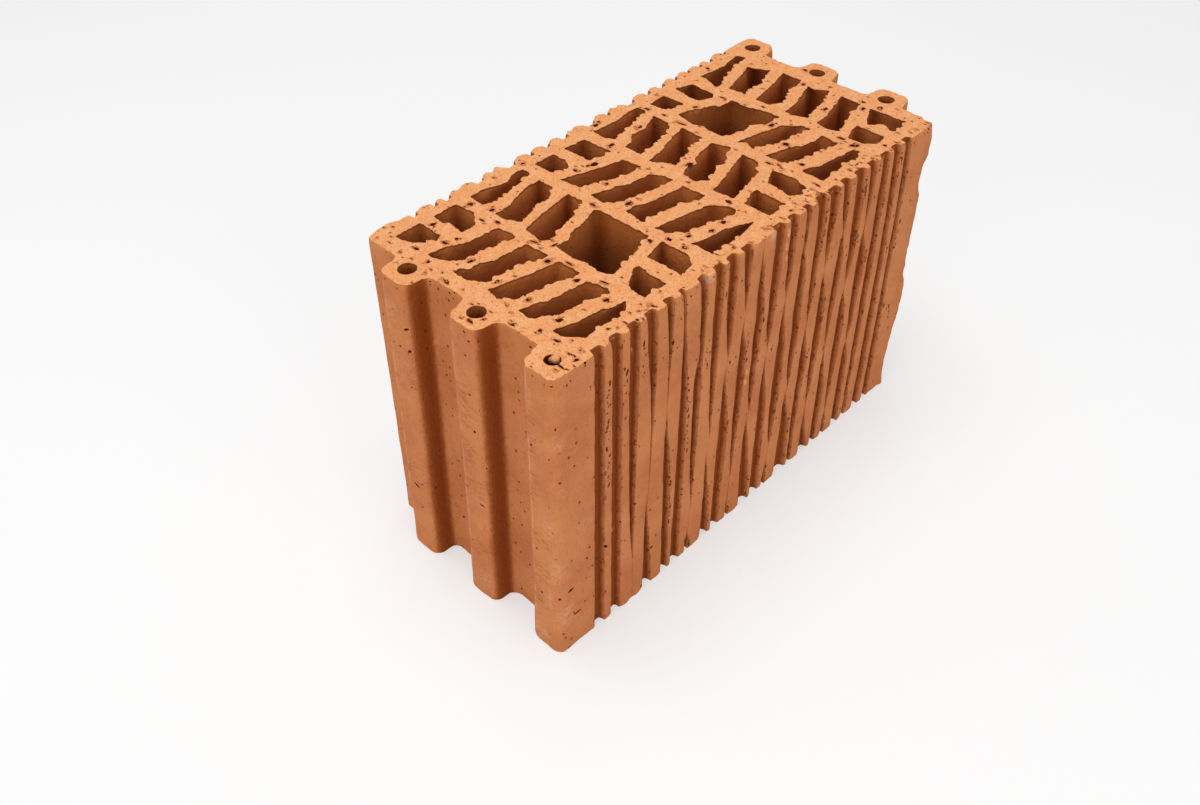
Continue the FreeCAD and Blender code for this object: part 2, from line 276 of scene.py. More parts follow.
# Where the edges of the back face's grooves lie at the top, seen from behind the block
BACK_TOPS = (
    (-128.5, -126), (-116, -111), (-106, -103), (-95.5, -92.5), (-84, -80.5), (-73, -66.5),
    (-60.5, -55.5), (-47, -38), (-33.5, -32.9), (-27, -23.5), (-15, -6.5), (2, 2.6), (6, 12.5),
    (20, 24.5), (32.5, 36), (45, 53), (60.3, 60.9), (67.5, 74), (83.8, 84.4), (89.5, 95), (98.5, 102),
    (111, 115.5),
)

# Below its top, a back groove goes from one place to the next over these heights. Its start wanders
# by up to this much, and it is pinched shut this often, or else it is this wide.
BACK_STEPS = (30.0, 60.0)
BACK_WANDER = 1.0
BACK_SHUT = 0.3
BACK_WIDTHS = (4.5, 6.8)

# The torn outline of each cell where the wire cut it, clockwise from its -X, +Y corner. A key is
# the column, the first and last band of the column, and the half of a divided band.
CELL_OUTLINES = {
    (0, 0, 0, 1): ((-132, 60), (-116, 60.5), (-116, 45), (-120, 42), (-125, 45.5), (-128, 47),
                   (-131, 52)),
    (0, 0, 0, 2): ((-108, 60), (-93, 60), (-92, 47), (-95, 44), (-99, 39), (-108, 39), (-107, 46),
                   (-106, 50), (-109, 51)),
    (0, 1, 1, 0): ((-131, 37.5), (-121, 36), (-115, 33), (-112, 31.5), (-93, 30), (-91.5, 19),
                   (-94, 17), (-99, 18.5), (-101, 20), (-104, 18.7), (-112, 21), (-120, 20.5),
                   (-127, 25), (-131, 33)),
    (0, 2, 2, 0): ((-132, 18), (-128, 18.5), (-125, 14.5), (-119, 15), (-113, 11.5), (-93, 10),
                   (-92, -4.5), (-99, -4), (-104, -1), (-118, 0.5), (-120, 1.5), (-125, 0), (-130, 5),
                   (-132, 9)),
    (0, 3, 3, 0): ((-130, -3), (-118, -6), (-110, -8), (-92, -11), (-92, -25), (-99, -25), (-103, -22),
                   (-115, -20.5), (-119, -19), (-126, -18.5), (-132, -11)),
    (0, 4, 4, 0): ((-131, -24), (-121, -26.5), (-117, -28.5), (-94, -31.5), (-92, -42), (-94, -45.5),
                   (-101, -43.5), (-104, -41.5), (-120, -40), (-129, -35), (-132, -32)),
    (0, 5, 5, 0): ((-131, -45), (-117, -49), (-104, -50.5), (-103, -52.5), (-93, -54), (-98, -58.5),
                   (-103, -60), (-115, -58.5), (-125, -59.5), (-131, -51)),
    (1, 0, 0, 0): ((-84, 60), (-75, 60.5), (-65, 57), (-60, 57), (-55, 60), (-48, 60), (-47, 54),
                   (-56, 51.5), (-66, 49.5), (-78, 47), (-85, 50)),
    (1, 1, 1, 0): ((-86, 40), (-75, 40), (-69, 43), (-58, 46), (-49, 46), (-49, 36), (-58, 30),
                   (-63, 29.5), (-65, 31.5), (-70, 28.5), (-82, 24.5), (-86, 33)),
    (1, 2, 2, 0): ((-85, 19), (-70, 23), (-48, 26.5), (-48, 16), (-60, 10.5), (-70, 8), (-83, 3.5),
                   (-87, 7)),
    (1, 3, 4, 0): ((-85, -1), (-76, -2), (-72, 1.5), (-62, 3), (-50, 7), (-48, 5), (-48, -28),
                   (-65, -33), (-83, -37), (-86, -30), (-84.5, -20), (-86.5, -16.5)),
    (1, 5, 5, 1): ((-83, -46), (-73, -40), (-69, -40.5), (-71, -50), (-71, -59.5), (-80, -58),
                   (-86, -59), (-86, -51)),
    (1, 5, 5, 2): ((-62, -38.5), (-47, -35), (-47, -52), (-52, -58), (-62, -60), (-61.5, -49)),
    (2, 0, 0, 1): ((-40, 59), (-26, 59), (-26, 50), (-30, 43.5), (-35, 43.5), (-40, 47)),
    (2, 0, 0, 2): ((-18.5, 59), (-4, 58), (-3, 38.5), (-11, 38.5), (-18, 40.5)),
    (2, 1, 1, 0): ((-42, 39), (-34, 37), (-27, 34), (-12, 30), (-5, 29), (-3.5, 16.5), (-15, 17),
                   (-24, 20), (-30, 21), (-33, 24), (-40, 25)),
    (2, 2, 2, 0): ((-41.5, 17.5), (-35, 16), (-31, 14), (-26, 14), (-22, 10.5), (-6, 9), (-2, 2),
                   (-1.5, -3.5), (-12, -3), (-29, 0), (-31, 2), (-35, 0.5), (-42.5, 7)),
    (2, 3, 3, 0): ((-40, -5), (-32, -5), (-29, -8), (-3, -11), (-2, -25), (-9, -25.5), (-17, -20.5),
                   (-31, -19), (-36, -17.5), (-42, -19)),
    (2, 4, 4, 0): ((-41.5, -25), (-30, -27), (-8, -31.5), (-2, -39), (-1.5, -44), (-6, -46.5),
                   (-18, -42.5), (-35, -39), (-41, -32)),
    (2, 5, 5, 0): ((-39.5, -46), (-32, -49), (-20, -50), (-10, -54), (-3.5, -57), (-17, -59.5),
                   (-39, -60)),
    (3, 0, 0, 0): ((5, 60), (24, 59), (33, 61), (42, 60.5), (42, 53.5), (28, 50.5), (14, 47), (7, 45.5),
                   (4, 52)),
    (3, 1, 1, 0): ((5, 36.5), (12, 38), (16, 42), (28, 42.5), (41, 48), (40.5, 35.5), (33, 30),
                   (20, 27), (5, 25)),
    (3, 2, 2, 0): ((3, 18), (14, 20), (30, 25), (42, 28), (41, 12), (35, 10.5), (32, 12), (28, 11.5),
                   (24, 8), (9, 4.5), (8, 9), (3, 16)),
    (3, 3, 3, 0): ((5, -3.5), (13, 0), (18, -2), (22, 2.5), (40, 6), (44, -5), (35, -8), (32, -12),
                   (28, -13), (25, -11.5), (9, -17.5), (4, -12)),
    (3, 4, 4, 0): ((4, -24), (14, -22), (26, -18), (42, -13.5), (42, -24), (33, -31), (15, -35),
                   (5, -37)),
    (3, 5, 5, 1): ((5, -43.5), (15, -40), (20, -40), (19.5, -48), (19.5, -59), (5, -59.5)),
    (3, 5, 5, 2): ((28, -40), (40, -34.5), (42, -48), (38, -58), (33, -60), (26, -56), (28, -46)),
    (4, 0, 0, 1): ((49, 58), (62, 59), (63, 45), (60, 43.5), (50, 46.5)),
    (4, 0, 0, 2): ((73, 60), (80, 57), (84, 56), (83, 40), (80, 36.5), (71, 40), (70, 45)),
    (4, 1, 2, 0): ((51, 39), (58, 38), (68, 33), (74, 30), (73, 28), (85, 27.5), (84, 17), (87, 8),
                   (88, -4), (80, -3.5), (75, -3), (67, 2), (60, 1), (49, 5), (49, 17), (51, 20),
                   (48, 26)),
    (4, 3, 3, 0): ((49, -3.5), (60, -5), (81, -10), (86, -16.5), (89, -19), (88, -24.5), (72, -21.5),
                   (62, -20), (57, -17), (49, -14), (53, -8)),
    (4, 4, 4, 0): ((49, -22.5), (60, -26), (70, -29.5), (69, -31), (80, -33), (87, -32), (86, -44),
                   (66, -41), (53, -37), (49, -34)),
    (4, 5, 5, 0): ((49.5, -46), (54, -46), (59, -49.5), (86, -53), (87, -57), (78, -60.5), (71, -57.5),
                   (66, -59), (49, -60)),
    (5, 0, 0, 0): ((94, 59), (113, 57), (130, 60), (132, 54), (119, 52), (105, 48), (93, 43),
                   (90, 43.5), (94, 54)),
    (5, 1, 1, 0): ((94, 37.5), (110, 42), (123, 46.5), (127, 36), (129, 34), (118, 30), (114, 27),
                   (108, 28), (95, 26)),
    (5, 2, 2, 0): ((94, 18), (118, 23), (131, 26.5), (131, 12), (115, 10), (102, 4), (94, 9)),
    (5, 3, 3, 0): ((94, -2), (105, -1), (128, 6.5), (127, 1), (132, -6), (120, -11), (105, -13.5),
                   (97, -16), (94, -8)),
    (5, 4, 4, 0): ((96, -22), (104, -22), (131, -14.5), (130, -28.5), (115, -31), (97, -37), (94, -31)),
    (5, 5, 5, 1): ((94, -44), (103, -40.5), (109, -40), (109, -58), (100, -59.5), (94, -53)),
    (5, 5, 5, 2): ((113, -44), (118, -40), (130, -34.5), (131, -58), (118, -59), (116, -57), (120, -50),
                   (116, -47)),
}

# The cells that are wide enough for fingers, where one slanted web is left out
GRIPS = ((1, 3, 4, 0), (4, 1, 2, 0))

# Holes torn in the cut face by grains that the wire pulled out: place and size along X and Y
PITS = (
    (-113, 54.5, 3, 2.5), (-88.5, 54.5, 3, 3), (-131.5, 44.5, 2, 3), (-142, 47.5, 2, 2),
    (-84.5, 43, 3, 2.5), (-94, 40, 1.5, 4), (-119, 38.5, 2, 3.5), (-113, 37, 2, 2),
    (-134.5, 32.5, 2, 2), (-90, 33, 2, 4), (-120.5, 18.5, 4, 2), (-139, 14.5, 1.5, 4),
    (-89.5, 8.5, 1.2, 5), (-123, -2, 3.5, 2), (-96, -7.5, 3, 3), (-85, -0.5, 3.5, 1.5),
    (-90.5, -16, 1.2, 5), (-122.5, -22, 3, 2), (-97.5, -28, 3, 2.5), (-140, -30, 1.2, 3),
    (-90, -38, 1.5, 5), (-134.5, -41.5, 2, 2), (-123.5, -42.5, 3.5, 2.5), (-99, -47.5, 3.5, 2),
    (-134.5, -51.5, 1.5, 3.5), (-113.5, -62, 1.5, 2), (-88, -65.5, 1.5, 2.5), (-100, -67, 1.5, 2.2),
    (-151, -15, 1.5, 4), (-146, -18, 1.5, 1.5), (-137.5, -66.5, 2, 2), (-51, -31, 2, 3),
    (-47, 10, 1.5, 4), (-44, 63.5, 2, 2), (11, 63.5, 3.5, 2.5), (15, 65, 2, 2), (44, 55, 1.5, 4),
    (45, 44, 1.5, 4), (1.5, 43, 4, 2.5), (-4, 44.5, 2, 3), (26, 44.5, 3, 2), (-19, 36, 5, 3.5),
    (-30, 39, 2, 3), (44.5, 30, 1.5, 6), (31, 25, 2, 1.5), (-28.5, 18.5, 3, 2), (-3, 12.5, 1.5, 2.5),
    (15, 0, 4, 3), (-34, -2, 4, 2.5), (1, -10.5, 1.5, 3), (1, -37, 2, 4.5), (44, -29, 1.5, 4),
    (46, -34, 1.5, 3), (-44, -37, 2, 3), (-35.5, -42, 3, 2), (-44, -46.5, 2, 3), (-24.5, -47, 3.5, 2.5),
    (-15, -46.5, 3.5, 2.5), (-28, -63, 2, 1.5), (44, -60, 1.5, 4), (16, -64, 1.5, 2), (105, 62, 2, 2.5),
    (64, 37, 3.5, 1.5), (83, 33, 1.5, 4), (90, 10, 1.5, 3), (127, 9, 3, 2), (77, -6, 4, 3),
    (112, -17, 4, 2), (135, -4, 1.5, 2), (133, -28, 2, 2), (127, -32, 3, 2.5), (134, -38.5, 3.5, 3),
    (91, -42, 2, 5), (89, -50.5, 3, 2.5), (90.5, -52.5, 3, 2), (66, -24, 3, 4), (55, -42.5, 3, 2.5),
    (75, -63, 2, 1.5), (101, -63, 2, 2), (142.5, 19, 2, 3), (113, -68, 5, 2.5),
    (-145.2, -64.9, 1.3, 4.0), (-136.5, -63.5, 1.2, 3.5),
)

# Rows of small pits down the front face: place along X, upper end and lower end
PIT_ROWS = (
    (-121.3, 168, 103), (-110, 170, 150), (-97.5, 178, 153), (-78.5, 165, 158), (-66, 135, 120),
    (-63, 118, 84), (-75, 85, 35), (-51, 150, 132), (-57, 10, 2), (-39, 40, 10), (-28, 82, 70),
    (-32, 125, 118), (-18, 135, 115), (-20, 12, 2), (-9, 138, 134), (-2, 20, 12), (15, 18, 2),
    (33, 45, 35), (38, 180, 155), (39.5, 135, 125), (52, 120, 108), (43, 92, 80), (60, 80, 75),
    (74, 185, 170), (75, 15, 5), (88, 132, 122), (97, 165, 148), (97, 18, 5), (109, 185, 170),
    (112, 122, 118), (122, 135, 115), (123, 75, 45), (131, 70, 58),
)

# Single holes of the upright faces: place across and up, width, height and lean in degrees
FRONT_HOLES = (
    (-147, 47, 4.2, 2, 10), (-142.5, 25.3, 6, 1.2, 0), (-145, 27, 1.2, 2, 0),
    (-143.5, 133, 1.8, 1.4, 0), (-134, 69, 2, 1.6, -40), (-135.5, 62, 1.8, 1.8, -40),
    (-123, 60.5, 4, 1.6, -40), (-39.5, 172, 0.9, 4, 0), (-87, 29.5, 2.6, 1.8, 0),
    (-115, 62, 1.2, 1.2, 0), (-108.5, 53, 1.3, 1.2, 0), (-145, 185, 1, 1.4, 0), (-157, 50, 1.2, 2.4, 0),
    (-136, 47, 1.3, 1.2, 0), (-98, 174, 1.8, 1.2, 0), (-133, 174, 1.2, 1.2, 0), (-74, 38, 1.8, 2.4, 0),
    (-135, 132, 1.4, 0.8, 0), (-57, 8, 1.6, 4, 0), (-149, 1.5, 3, 1.4, 0), (-94, 3, 2.4, 3, 0),
)
NEAR_HOLES = (
    (18, 183, 1.6, 1.4, 0), (15, 173.5, 1.8, 1.2, 0), (15, 150, 1.6, 1.6, 0), (16, 127, 2, 2, 0),
    (43, 186, 1.8, 1.4, 0), (49, 176.5, 1.4, 1.2, 0), (-28, 164, 4, 1.4, 20),
    (-28, 150.5, 1.8, 2.2, -30), (-34, 151, 1.8, 1.6, 0), (-39, 151, 1.6, 0.9, 0),
    (-25, 175, 1.2, 1.6, 0), (-18.5, 133.5, 2.4, 1, 30), (-18, 31, 3, 1.4, 45),
    (-38, 52, 4.5, 1.6, -20), (16, 76, 3.4, 1.2, -10), (55, 145, 1.4, 2, 0), (58, 150, 1, 1, 0),
    (55, 75, 1.8, 1.6, 0), (57, 43, 1.8, 2, 0), (69, 162, 0.9, 2, 0), (68, 45, 1.4, 2.6, -10),
    (66, 143, 1.6, 1, 30), (30, 78, 1.6, 1.2, 0), (20, 104, 1, 1.6, 0), (-30, 127, 1.2, 1.2, 0),
    (-28, 30, 1.2, 1.6, 0), (37, 131, 1, 3, 0), (-36, 36, 1.4, 2, 0), (-45, 87, 1.4, 1, 0),
    (6, 83, 1.2, 1.4, 0), (24, 62, 1, 1.4, 0), (-33, 56, 3, 0.8, 25),
)

# Lumps of clay that stuck to the block: place, and reach along X, Y and Z
LUMPS = (
    (-141.5, -58.3, 187.9, 2.5, 2.5, 2.2), (-142.4, -56.5, 187.2, 1.5, 1.5, 1.7),
    (7.4, -70.0, 184, 0.9, 0.8, 3.2), (6.8, -70.2, 176, 0.8, 0.7, 2.6),
    (8.0, -70.0, 168.5, 0.7, 0.7, 2.2), (-15.8, -70.2, 109, 0.8, 0.7, 3.0),
    (-16.4, -70.1, 102.5, 0.9, 0.8, 2.4),
)

# Fine ripples across the skin of the -X end, and pale scuffs: place, and reach along X, Y and Z
RIPPLES = (
    (-150, -57, 84.5, 12, 9, 6), (-150, -54, 58, 12, 9, 9), (-150, -56, 35.5, 12, 8, 5),
    (-150, -9, 140, 12, 7, 16), (-150, -9, 110, 12, 8, 10), (-150, -9, 86, 12, 9, 8),
    (-150, 36, 130, 12, 9, 7), (-150, -54, 150, 12, 5, 14), (-150, -54, 118, 12, 5, 12),
    (-150, 38, 60, 12, 9, 10), (-150, -10, 40, 12, 9, 8),
)
SCUFFS = (
    (-155, 37, 171, 9, 3, 6), (-155, -53, 172, 9, 4, 7), (-155, -64, 96, 9, 4, 6),
    (-155, -66, 66, 9, 3, 9), (-155, -56, 9, 9, 6, 7), (-152, -69, 152, 4, 3, 3),
    (-155, -62, 42, 9, 3, 8), (-155, -11, 15, 9, 6, 6), (-52, -70, 188, 3, 5, 5),
    (-5.5, -70, 188, 3, 5, 5), (-150, -70, 30, 5, 5, 8),
)

# The pits, and the smaller pit beside each: depth and size as shares, how far aside, and lean
PIT_DEPTH = 0.8
SMALL_PIT = 0.5
SMALL_PIT_ASIDE = 0.8
PIT_LEAN = 12
SMALL_PIT_LEAN = 30

# The pits of a row: how far they wander, their widths, depths, lean and the painted shade inside them,
# their least height and what chance adds to it, and the least gap between two of them and what chance
# adds to that
ROW_WANDER = 1.1
ROW_WIDTHS = (0.6, 1.7)
ROW_DEPTHS = (0.5, 1.2)
ROW_LEAN = 25
ROW_SHADES = (0.5, 1)
ROW_HEIGHT = 0.8
ROW_HEIGHT_MORE = 3.6
ROW_GAP = 0.6
ROW_GAP_MORE = 4.5

# The bites out of the edges of the front grooves: the heights they lie between, the gaps between
# them, how wide they are, and their least height and what chance adds to it
FIRST_BITES = (2, 14)
LAST_BITE = 186
BITE_GAPS = (5, 28)
BITE_WIDTHS = (0.5, 0.9)
BITE_HEIGHT = 0.5
BITE_HEIGHT_MORE = 1.4

# Small holes strewn at random over one side: how many, the part of the side that they keep to, from
# left to right and from low to high, their widths and heights, and how dark they are painted inside as
# shade
STREWN_HOLES = (
    ("top", 150, (-142, 142, -70, 70), (0.4, 0.8), (1.0, 2.8), 1.0),
    ("top", 50, (-142, 142, -69, -60), (0.4, 0.9), (1.2, 3.4), 1.0),
    ("top", 36, (-155, -134, -70, 70), (0.4, 0.8), (1.0, 2.8), 1.0),
    ("front", 45, (-141, 141, 186, 189.5), (0.8, 1.8), (0.6, 1.6), 0.9),
    ("near", 16, (-69, 69, 186, 189.5), (0.8, 1.6), (0.6, 1.4), 0.9),
    ("front", 130, (-141, 141, 3, 187), (0.5, 1.1), (0.5, 1.3), 0.8),
    ("back", 100, (-141, 141, 3, 187), (0.6, 1.6), (0.6, 2.4), 1.0),
    ("near", 60, (-69, 69, 3, 187), (0.5, 1.0), (0.4, 0.9), 0.7),
    ("far", 60, (-69, 69, 3, 187), (0.6, 1.9), (0.6, 1.4), 1.0),
)

# Blobs of clay, which are holes once they are cut out: how uneven they are, and from what size on
# they are made of more faces
UNEVEN = 0.35
FINE_BALL_FROM = 1.6

# The clay is looked for from this far out of the block, and taken as missing where it faces away from
# the side. A hole isn't dug in clay that lies deeper than this behind the side.
FAR_OUT = 300.0
FACES_OUT = 0.7
NO_CLAY = 999.0
DEEPEST = {"top": 2.0}
DEEPEST_UPRIGHT = 15.0

# A pit of a row moves on by a step while it lies deeper than a rib does, a few times at most
ON_RIB = 0.7
RIB_STEP = 0.6
RIB_TRIES = 8

# Edges of the block that are sharper than this many degrees are drawn sharp
SHARP_FROM = 38

# The grains of torn clay on the cut face: radius in metres, and how many to a square metre
GRAIN_RADIUS = 0.5 * MM
GRAIN_DENSITY = 1.2e5

SEED = 27


def smooth(share):
    """A step from 0 to 1 that starts and ends gently."""
    share = np.clip(share, 0.0, 1.0)
    return share * share * (3.0 - 2.0 * share)


def rough(x, y, z, size, seed=0.0):
    """Smooth noise from -1 to 1 whose lumps are about a size apart."""
    return noise.noise(Vector((x / size + seed, y / size - seed, z / size + 0.37 * seed)))


def marked(points, marks):
    """How strongly each point is marked, from 0 to 1, by marks with places and reaches."""
    points = np.array(points)
    distances = [(((points - mark[:3]) / mark[3:]) ** 4).sum(axis=1) for mark in np.array(marks)]
    return np.max([np.exp(-distance) for distance in distances], axis=0)


def read_off(pairs, value):
    """What a table of pairs says of a value, with straight lines between the pairs."""
    return float(np.interp(value, *zip(*pairs)))


def loop_normals(loop):
    """The directions to the right of a loop, which are outwards where it runs anticlockwise."""
    along = np.roll(loop, -1, axis=0) - np.roll(loop, 1, axis=0)
    along /= np.maximum(np.linalg.norm(along, axis=1, keepdims=True), 1e-9)
    return np.column_stack((along[:, 1], -along[:, 0]))


def arc_at(before, corner, after, radius, steps):
    """Points of the arc that rounds a corner between two straight runs."""
    corner = Vector(corner)
    back, on = (Vector(before) - corner).normalized(), (Vector(after) - corner).normalized()
    half_angle = back.angle(on) / 2
    middle = corner + (back + on).normalized() * (radius / math.sin(half_angle))
    reach = radius / math.tan(half_angle)
    start, end = corner + back * reach - middle, corner + on * reach - middle
    return [tuple(middle + radius * start.slerp(end, n / steps)) for n in range(steps + 1)]


def filled(points, step):
    """The same open path with points added so that none are more than about a step apart."""
    path = [points[0]]
    for start, end in zip(points, points[1:]):
        count = max(1, round(math.dist(start, end) / step))
        shares = [(n + 1) / count for n in range(count)]
        path += [tuple(np.array(start) + (np.array(end) - np.array(start)) * s) for s in shares]
    return path


def end_profile():
    """The +X end seen from above, from the front face to the back face, with its three tongues."""
    corners = [(END_START, -HALF_WIDTH, 0.0), (HALF_LENGTH, -HALF_WIDTH, FAR_ROUND)]
    for number in reversed(range(TONGUES)):
        far = HALF_WIDTH - number * TONGUE_PITCH
        corners.append((HALF_LENGTH, far - ROOT_WIDTH, ROOT_ROUND_SLANTED))
        corners.append((TIP, far - TIP_WIDTH, TIP_ROUND))
        corners.append((TIP, far, TIP_ROUND if number else OUTER_ROUND))
        corners.append((HALF_LENGTH, far, ROOT_ROUND_STRAIGHT))
    corners[-1] = (END_STOP, HALF_WIDTH, 0.0)
    places = [corner[:2] for corner in corners]
    path = []
    for number in range(1, len(corners) - 1):
        before, corner, after = places[number - 1:number + 2]
        path += arc_at(before, corner, after, corners[number][2], ROUND_STEPS)
    return filled([places[0]] + path + [places[-1]], END_STEP)


def end_shades(profile):
    """The painted shade of each point of the +X end: 1 on a flank in a recess, below 0 on a pale seam.
    """
    before, after = np.array(profile[:-2]), np.array(profile[2:])
    ahead = after - before
    sideways = np.concatenate(([0.0], -ahead[:, 0] / np.linalg.norm(ahead, axis=1), [0.0]))
    shades = smooth((sideways - FLANK_FROM) / FLANK_RISE)
    shades = np.convolve(np.pad(shades, 1), (0.22, 0.56, 0.22), "valid")
    for number, (x, y) in enumerate(profile):
        if y > HALF_WIDTH - PALE_BACK:
            shades[number] = 0.0
        for tongue in range(TONGUES):
            seam = HALF_WIDTH - tongue * TONGUE_PITCH - TIP_WIDTH + SEAM_INSET
            if x > TIP - TIP_DEPTH and abs(y - seam) < SEAM_REACH:
                shades[number] = SEAM_SHADE
    return shades


END_PROFILE = end_profile()
END_SHADES = end_shades(END_PROFILE)


def groove_edges(rows, number, z):
    """Where a groove's two edges lie at a height, and how deep it is there."""
    heights, lefts, rights = zip(*reversed(rows))
    wander = 0.25 * rough(number * 31.7, 0, z, 11.0)
    left, right = (float(np.interp(z, heights, edges)) + wander for edges in (lefts, rights))
    if right - left > OPEN_WIDTH:
        left += 0.3 * rough(number * 9.1, 2, z, 5.0)
        right += 0.55 * rough(number * 7.3, 5, z, 4.5)
    right = max(right, left + CREASE)
    depth = GROOVE_DEPTH * (right - left - SHUT_WIDTH) / (FULL_WIDTH - SHUT_WIDTH)
    return left, right, min(GROOVE_DEPTH, max(CREASE_DEPTH, depth))


def long_face(grooves, section, z, proud, seed):
    """A long face at a height from end to end, as places along it and depths behind the face."""
    edges = [groove_edges(rows, number, z) for number, rows in enumerate(grooves)]
    run = [(x, 0.0) for x in np.linspace(FACE_START, PLAIN_STOP, 6)]
    before = PLAIN_STOP
    for number, (left, right, depth) in enumerate(edges):
        after = edges[number + 1][0] if number + 1 < len(edges) else right + LAST_STRIP
        run.append((left - min(ROUND_BEFORE, 0.3 * (left - before)), 0.0))
        run += [(left + share * (right - left), down * depth) for share, down in section]
        run.append((right + min(ROUND_AFTER, 0.2 * (after - right)), 0.0))
        if number + 1 < len(edges):
            start, end = run[-1][0], after - min(ROUND_BEFORE, 0.3 * (after - right))
            filled_in = 2.0 - (depth + edges[number + 1][2]) / GROOVE_DEPTH
            bulge = proud + 0.4 * filled_in + 0.3 * rough(number * 5.1, seed, z, 22.0)
            bulge *= min(1.0, (end - start) / FULL_RIB)
            run += [(start + (end - start) * share, -bulge) for share in RIB_SHARES]
        before = right
    last = run[-1][0]
    crown = 1.6 * proud * smooth(z / CROWN_HEIGHT)
    for x in np.linspace(last + 2.0, FACE_STOP, 7):
        run.append((x, -crown * math.sin(math.pi * (x - last) / (HALF_LENGTH - last))))
    return run


def half_outline(grooves, section, z, proud, seed):
    """The front face and the +X end at a height, with the hollow of each point, for painted shade."""
    face = long_face(grooves, section, z, proud, seed)
    points = [(x, depth - HALF_WIDTH) for x, depth in face]
    hollow = [max(0.0, depth) / GROOVE_DEPTH for x, depth in face]
    return np.array(points + END_PROFILE), np.concatenate((hollow, END_SHADES))


def back_grooves():
    """Grooves for the back face: as read at the top, and pinched shut at random places below."""
    chance = random.Random(SEED)
    top = round(HEIGHT)
    grooves = []
    for number, (left, right) in enumerate(BACK_TOPS):
        nominal = FIRST_GROOVE + number * GROOVE_PITCH - GROOVE_MOUTH / 2
        rows, z = [(top, left, right)], top
        while z > 0.0:
            z -= chance.uniform(*BACK_STEPS)
            start = nominal + chance.uniform(-BACK_WANDER, BACK_WANDER)
            closed = chance.random() < BACK_SHUT
            rows.append((z, start, start + (CREASE if closed else chance.uniform(*BACK_WIDTHS))))
        grooves.append(tuple(rows))
    return grooves


BACK_GROOVES = back_grooves()


def edge_wear(z):
    """How far the upper and lower edges are worn back at a height, and how far chips reach."""
    is_upper = z > HEIGHT / 2
    away = HEIGHT - z if is_upper else z
    worn, worn_height, chipped, chipped_height = TOP_WEAR if is_upper else FOOT_WEAR
    return worn * math.exp(-away / worn_height), chipped * math.exp(-away / chipped_height)


def settle(x, y, z):
    """How far the clay of the -X end sank towards +Y before it dried, most at the bottom."""
    lean = read_off(SUNK_UP, z) * read_off(SUNK_ACROSS, y)
    return float(lean * smooth((SUNK_START - x) / SUNK_LENGTH))


def skin_ring(z):
    """The outside of the block at a height, anticlockwise from above, with each point's painted shade.
    """
    front, front_hollow = half_outline(FRONT_GROOVES, GROOVE_SECTION, z, 0.1, 3.0)
    back, back_hollow = half_outline(BACK_GROOVES, PLAIN_SECTION, z, 1.3, 9.0)
    loop = np.vstack((front, -back))
    squares = ((loop - (-HALF_LENGTH, HALF_WIDTH)) ** 2).sum(axis=1)
    near_corner = np.exp(-squares / (2 * NEAR_CORNER_REACH ** 2))
    loop += (softened(loop, NEAR_CORNER_PASSES) - loop) * near_corner[:, None]
    hollow = np.concatenate((front_hollow, back_hollow))
    normals = loop_normals(softened(loop, NORMAL_PASSES))
    worn, chip_reach = edge_wear(z)
    torn_edge = read_off(FAR_EDGE, z) + 0.5 * rough(0, 0, z, 3.0, 13.0)
    side = 1.0 if z > HEIGHT / 2 else 40.0
    for number, (x, y) in enumerate(loop):
        chip = 2.4 * max(0.0, rough(x, y, side, 6.0, 2.0) - 0.1)
        chip += 1.2 * abs(rough(x, y, side, 2.2, 5.0))
        swell = 0.2 * rough(x, y, z, 14.0, 1.0) + 0.08 * rough(x, y, z * 0.4, 3.5, 4.0)
        if x > CORNER_START + 1.0 and y < CORNER_FRONT:
            swell += torn_edge * smooth((x - CORNER_START) / CORNER_LENGTH)
        loop[number] += normals[number] * (swell - worn - chip * chip_reach)
        if x < SUNK_START:
            facing = max(0.0, normals[number][1]) * math.exp(-z / 9.0)
            loop[number][1] += settle(x, y, z) + 1.5 * facing
    is_rim = z in (SKIN_HEIGHTS[0], SKIN_HEIGHTS[-1])
    return untangled(loop) if is_rim else loop, hollow


def cell_corners(column, first, last, half):
    """The corners of a cell at full size, clockwise from its -X, +Y corner."""
    rise = SLANT_RISE if column % 2 else -SLANT_RISE
    divider = DIVIDER_WEB / 2 / CELL_SPAN
    left, right = {0: (0.0, 1.0), 1: (0.0, 0.5 - divider), 2: (0.5 + divider, 1.0)}[half]
    start = CELLS_START + column * COLUMN_PITCH

    def web_face(web, share, side):
        return FIRST_WEB - web * WEB_PITCH + rise * share + side * SLANTED_WEB / 2

    def upper(share):
        return BACK if first == 0 else web_face(first - 1, share, -1)

    def lower(share):
        return -BACK if last == WEBS else web_face(last, share, 1)

    left_x, right_x = start + left * CELL_SPAN, start + right * CELL_SPAN
    uppers = [(left_x, upper(left)), (right_x, upper(right))]
    return uppers + [(right_x, lower(right)), (left_x, lower(left))]


def along(path, shares):
    """Points at the given shares of the length of an open path."""
    path = np.array(path, float)
    lengths = np.concatenate(([0.0], np.cumsum(np.linalg.norm(np.diff(path, axis=0), axis=1))))
    spots = np.array(shares) * lengths[-1]
    return np.column_stack([np.interp(spots, lengths, path[:, axis]) for axis in (0, 1)])


def softened(loop, passes):
    """A loop with its corners rounded by averaging each point with its neighbours."""
    for _ in range(passes):
        loop = (np.roll(loop, 1, axis=0) + 2 * loop + np.roll(loop, -1, axis=0)) / 4
    return loop


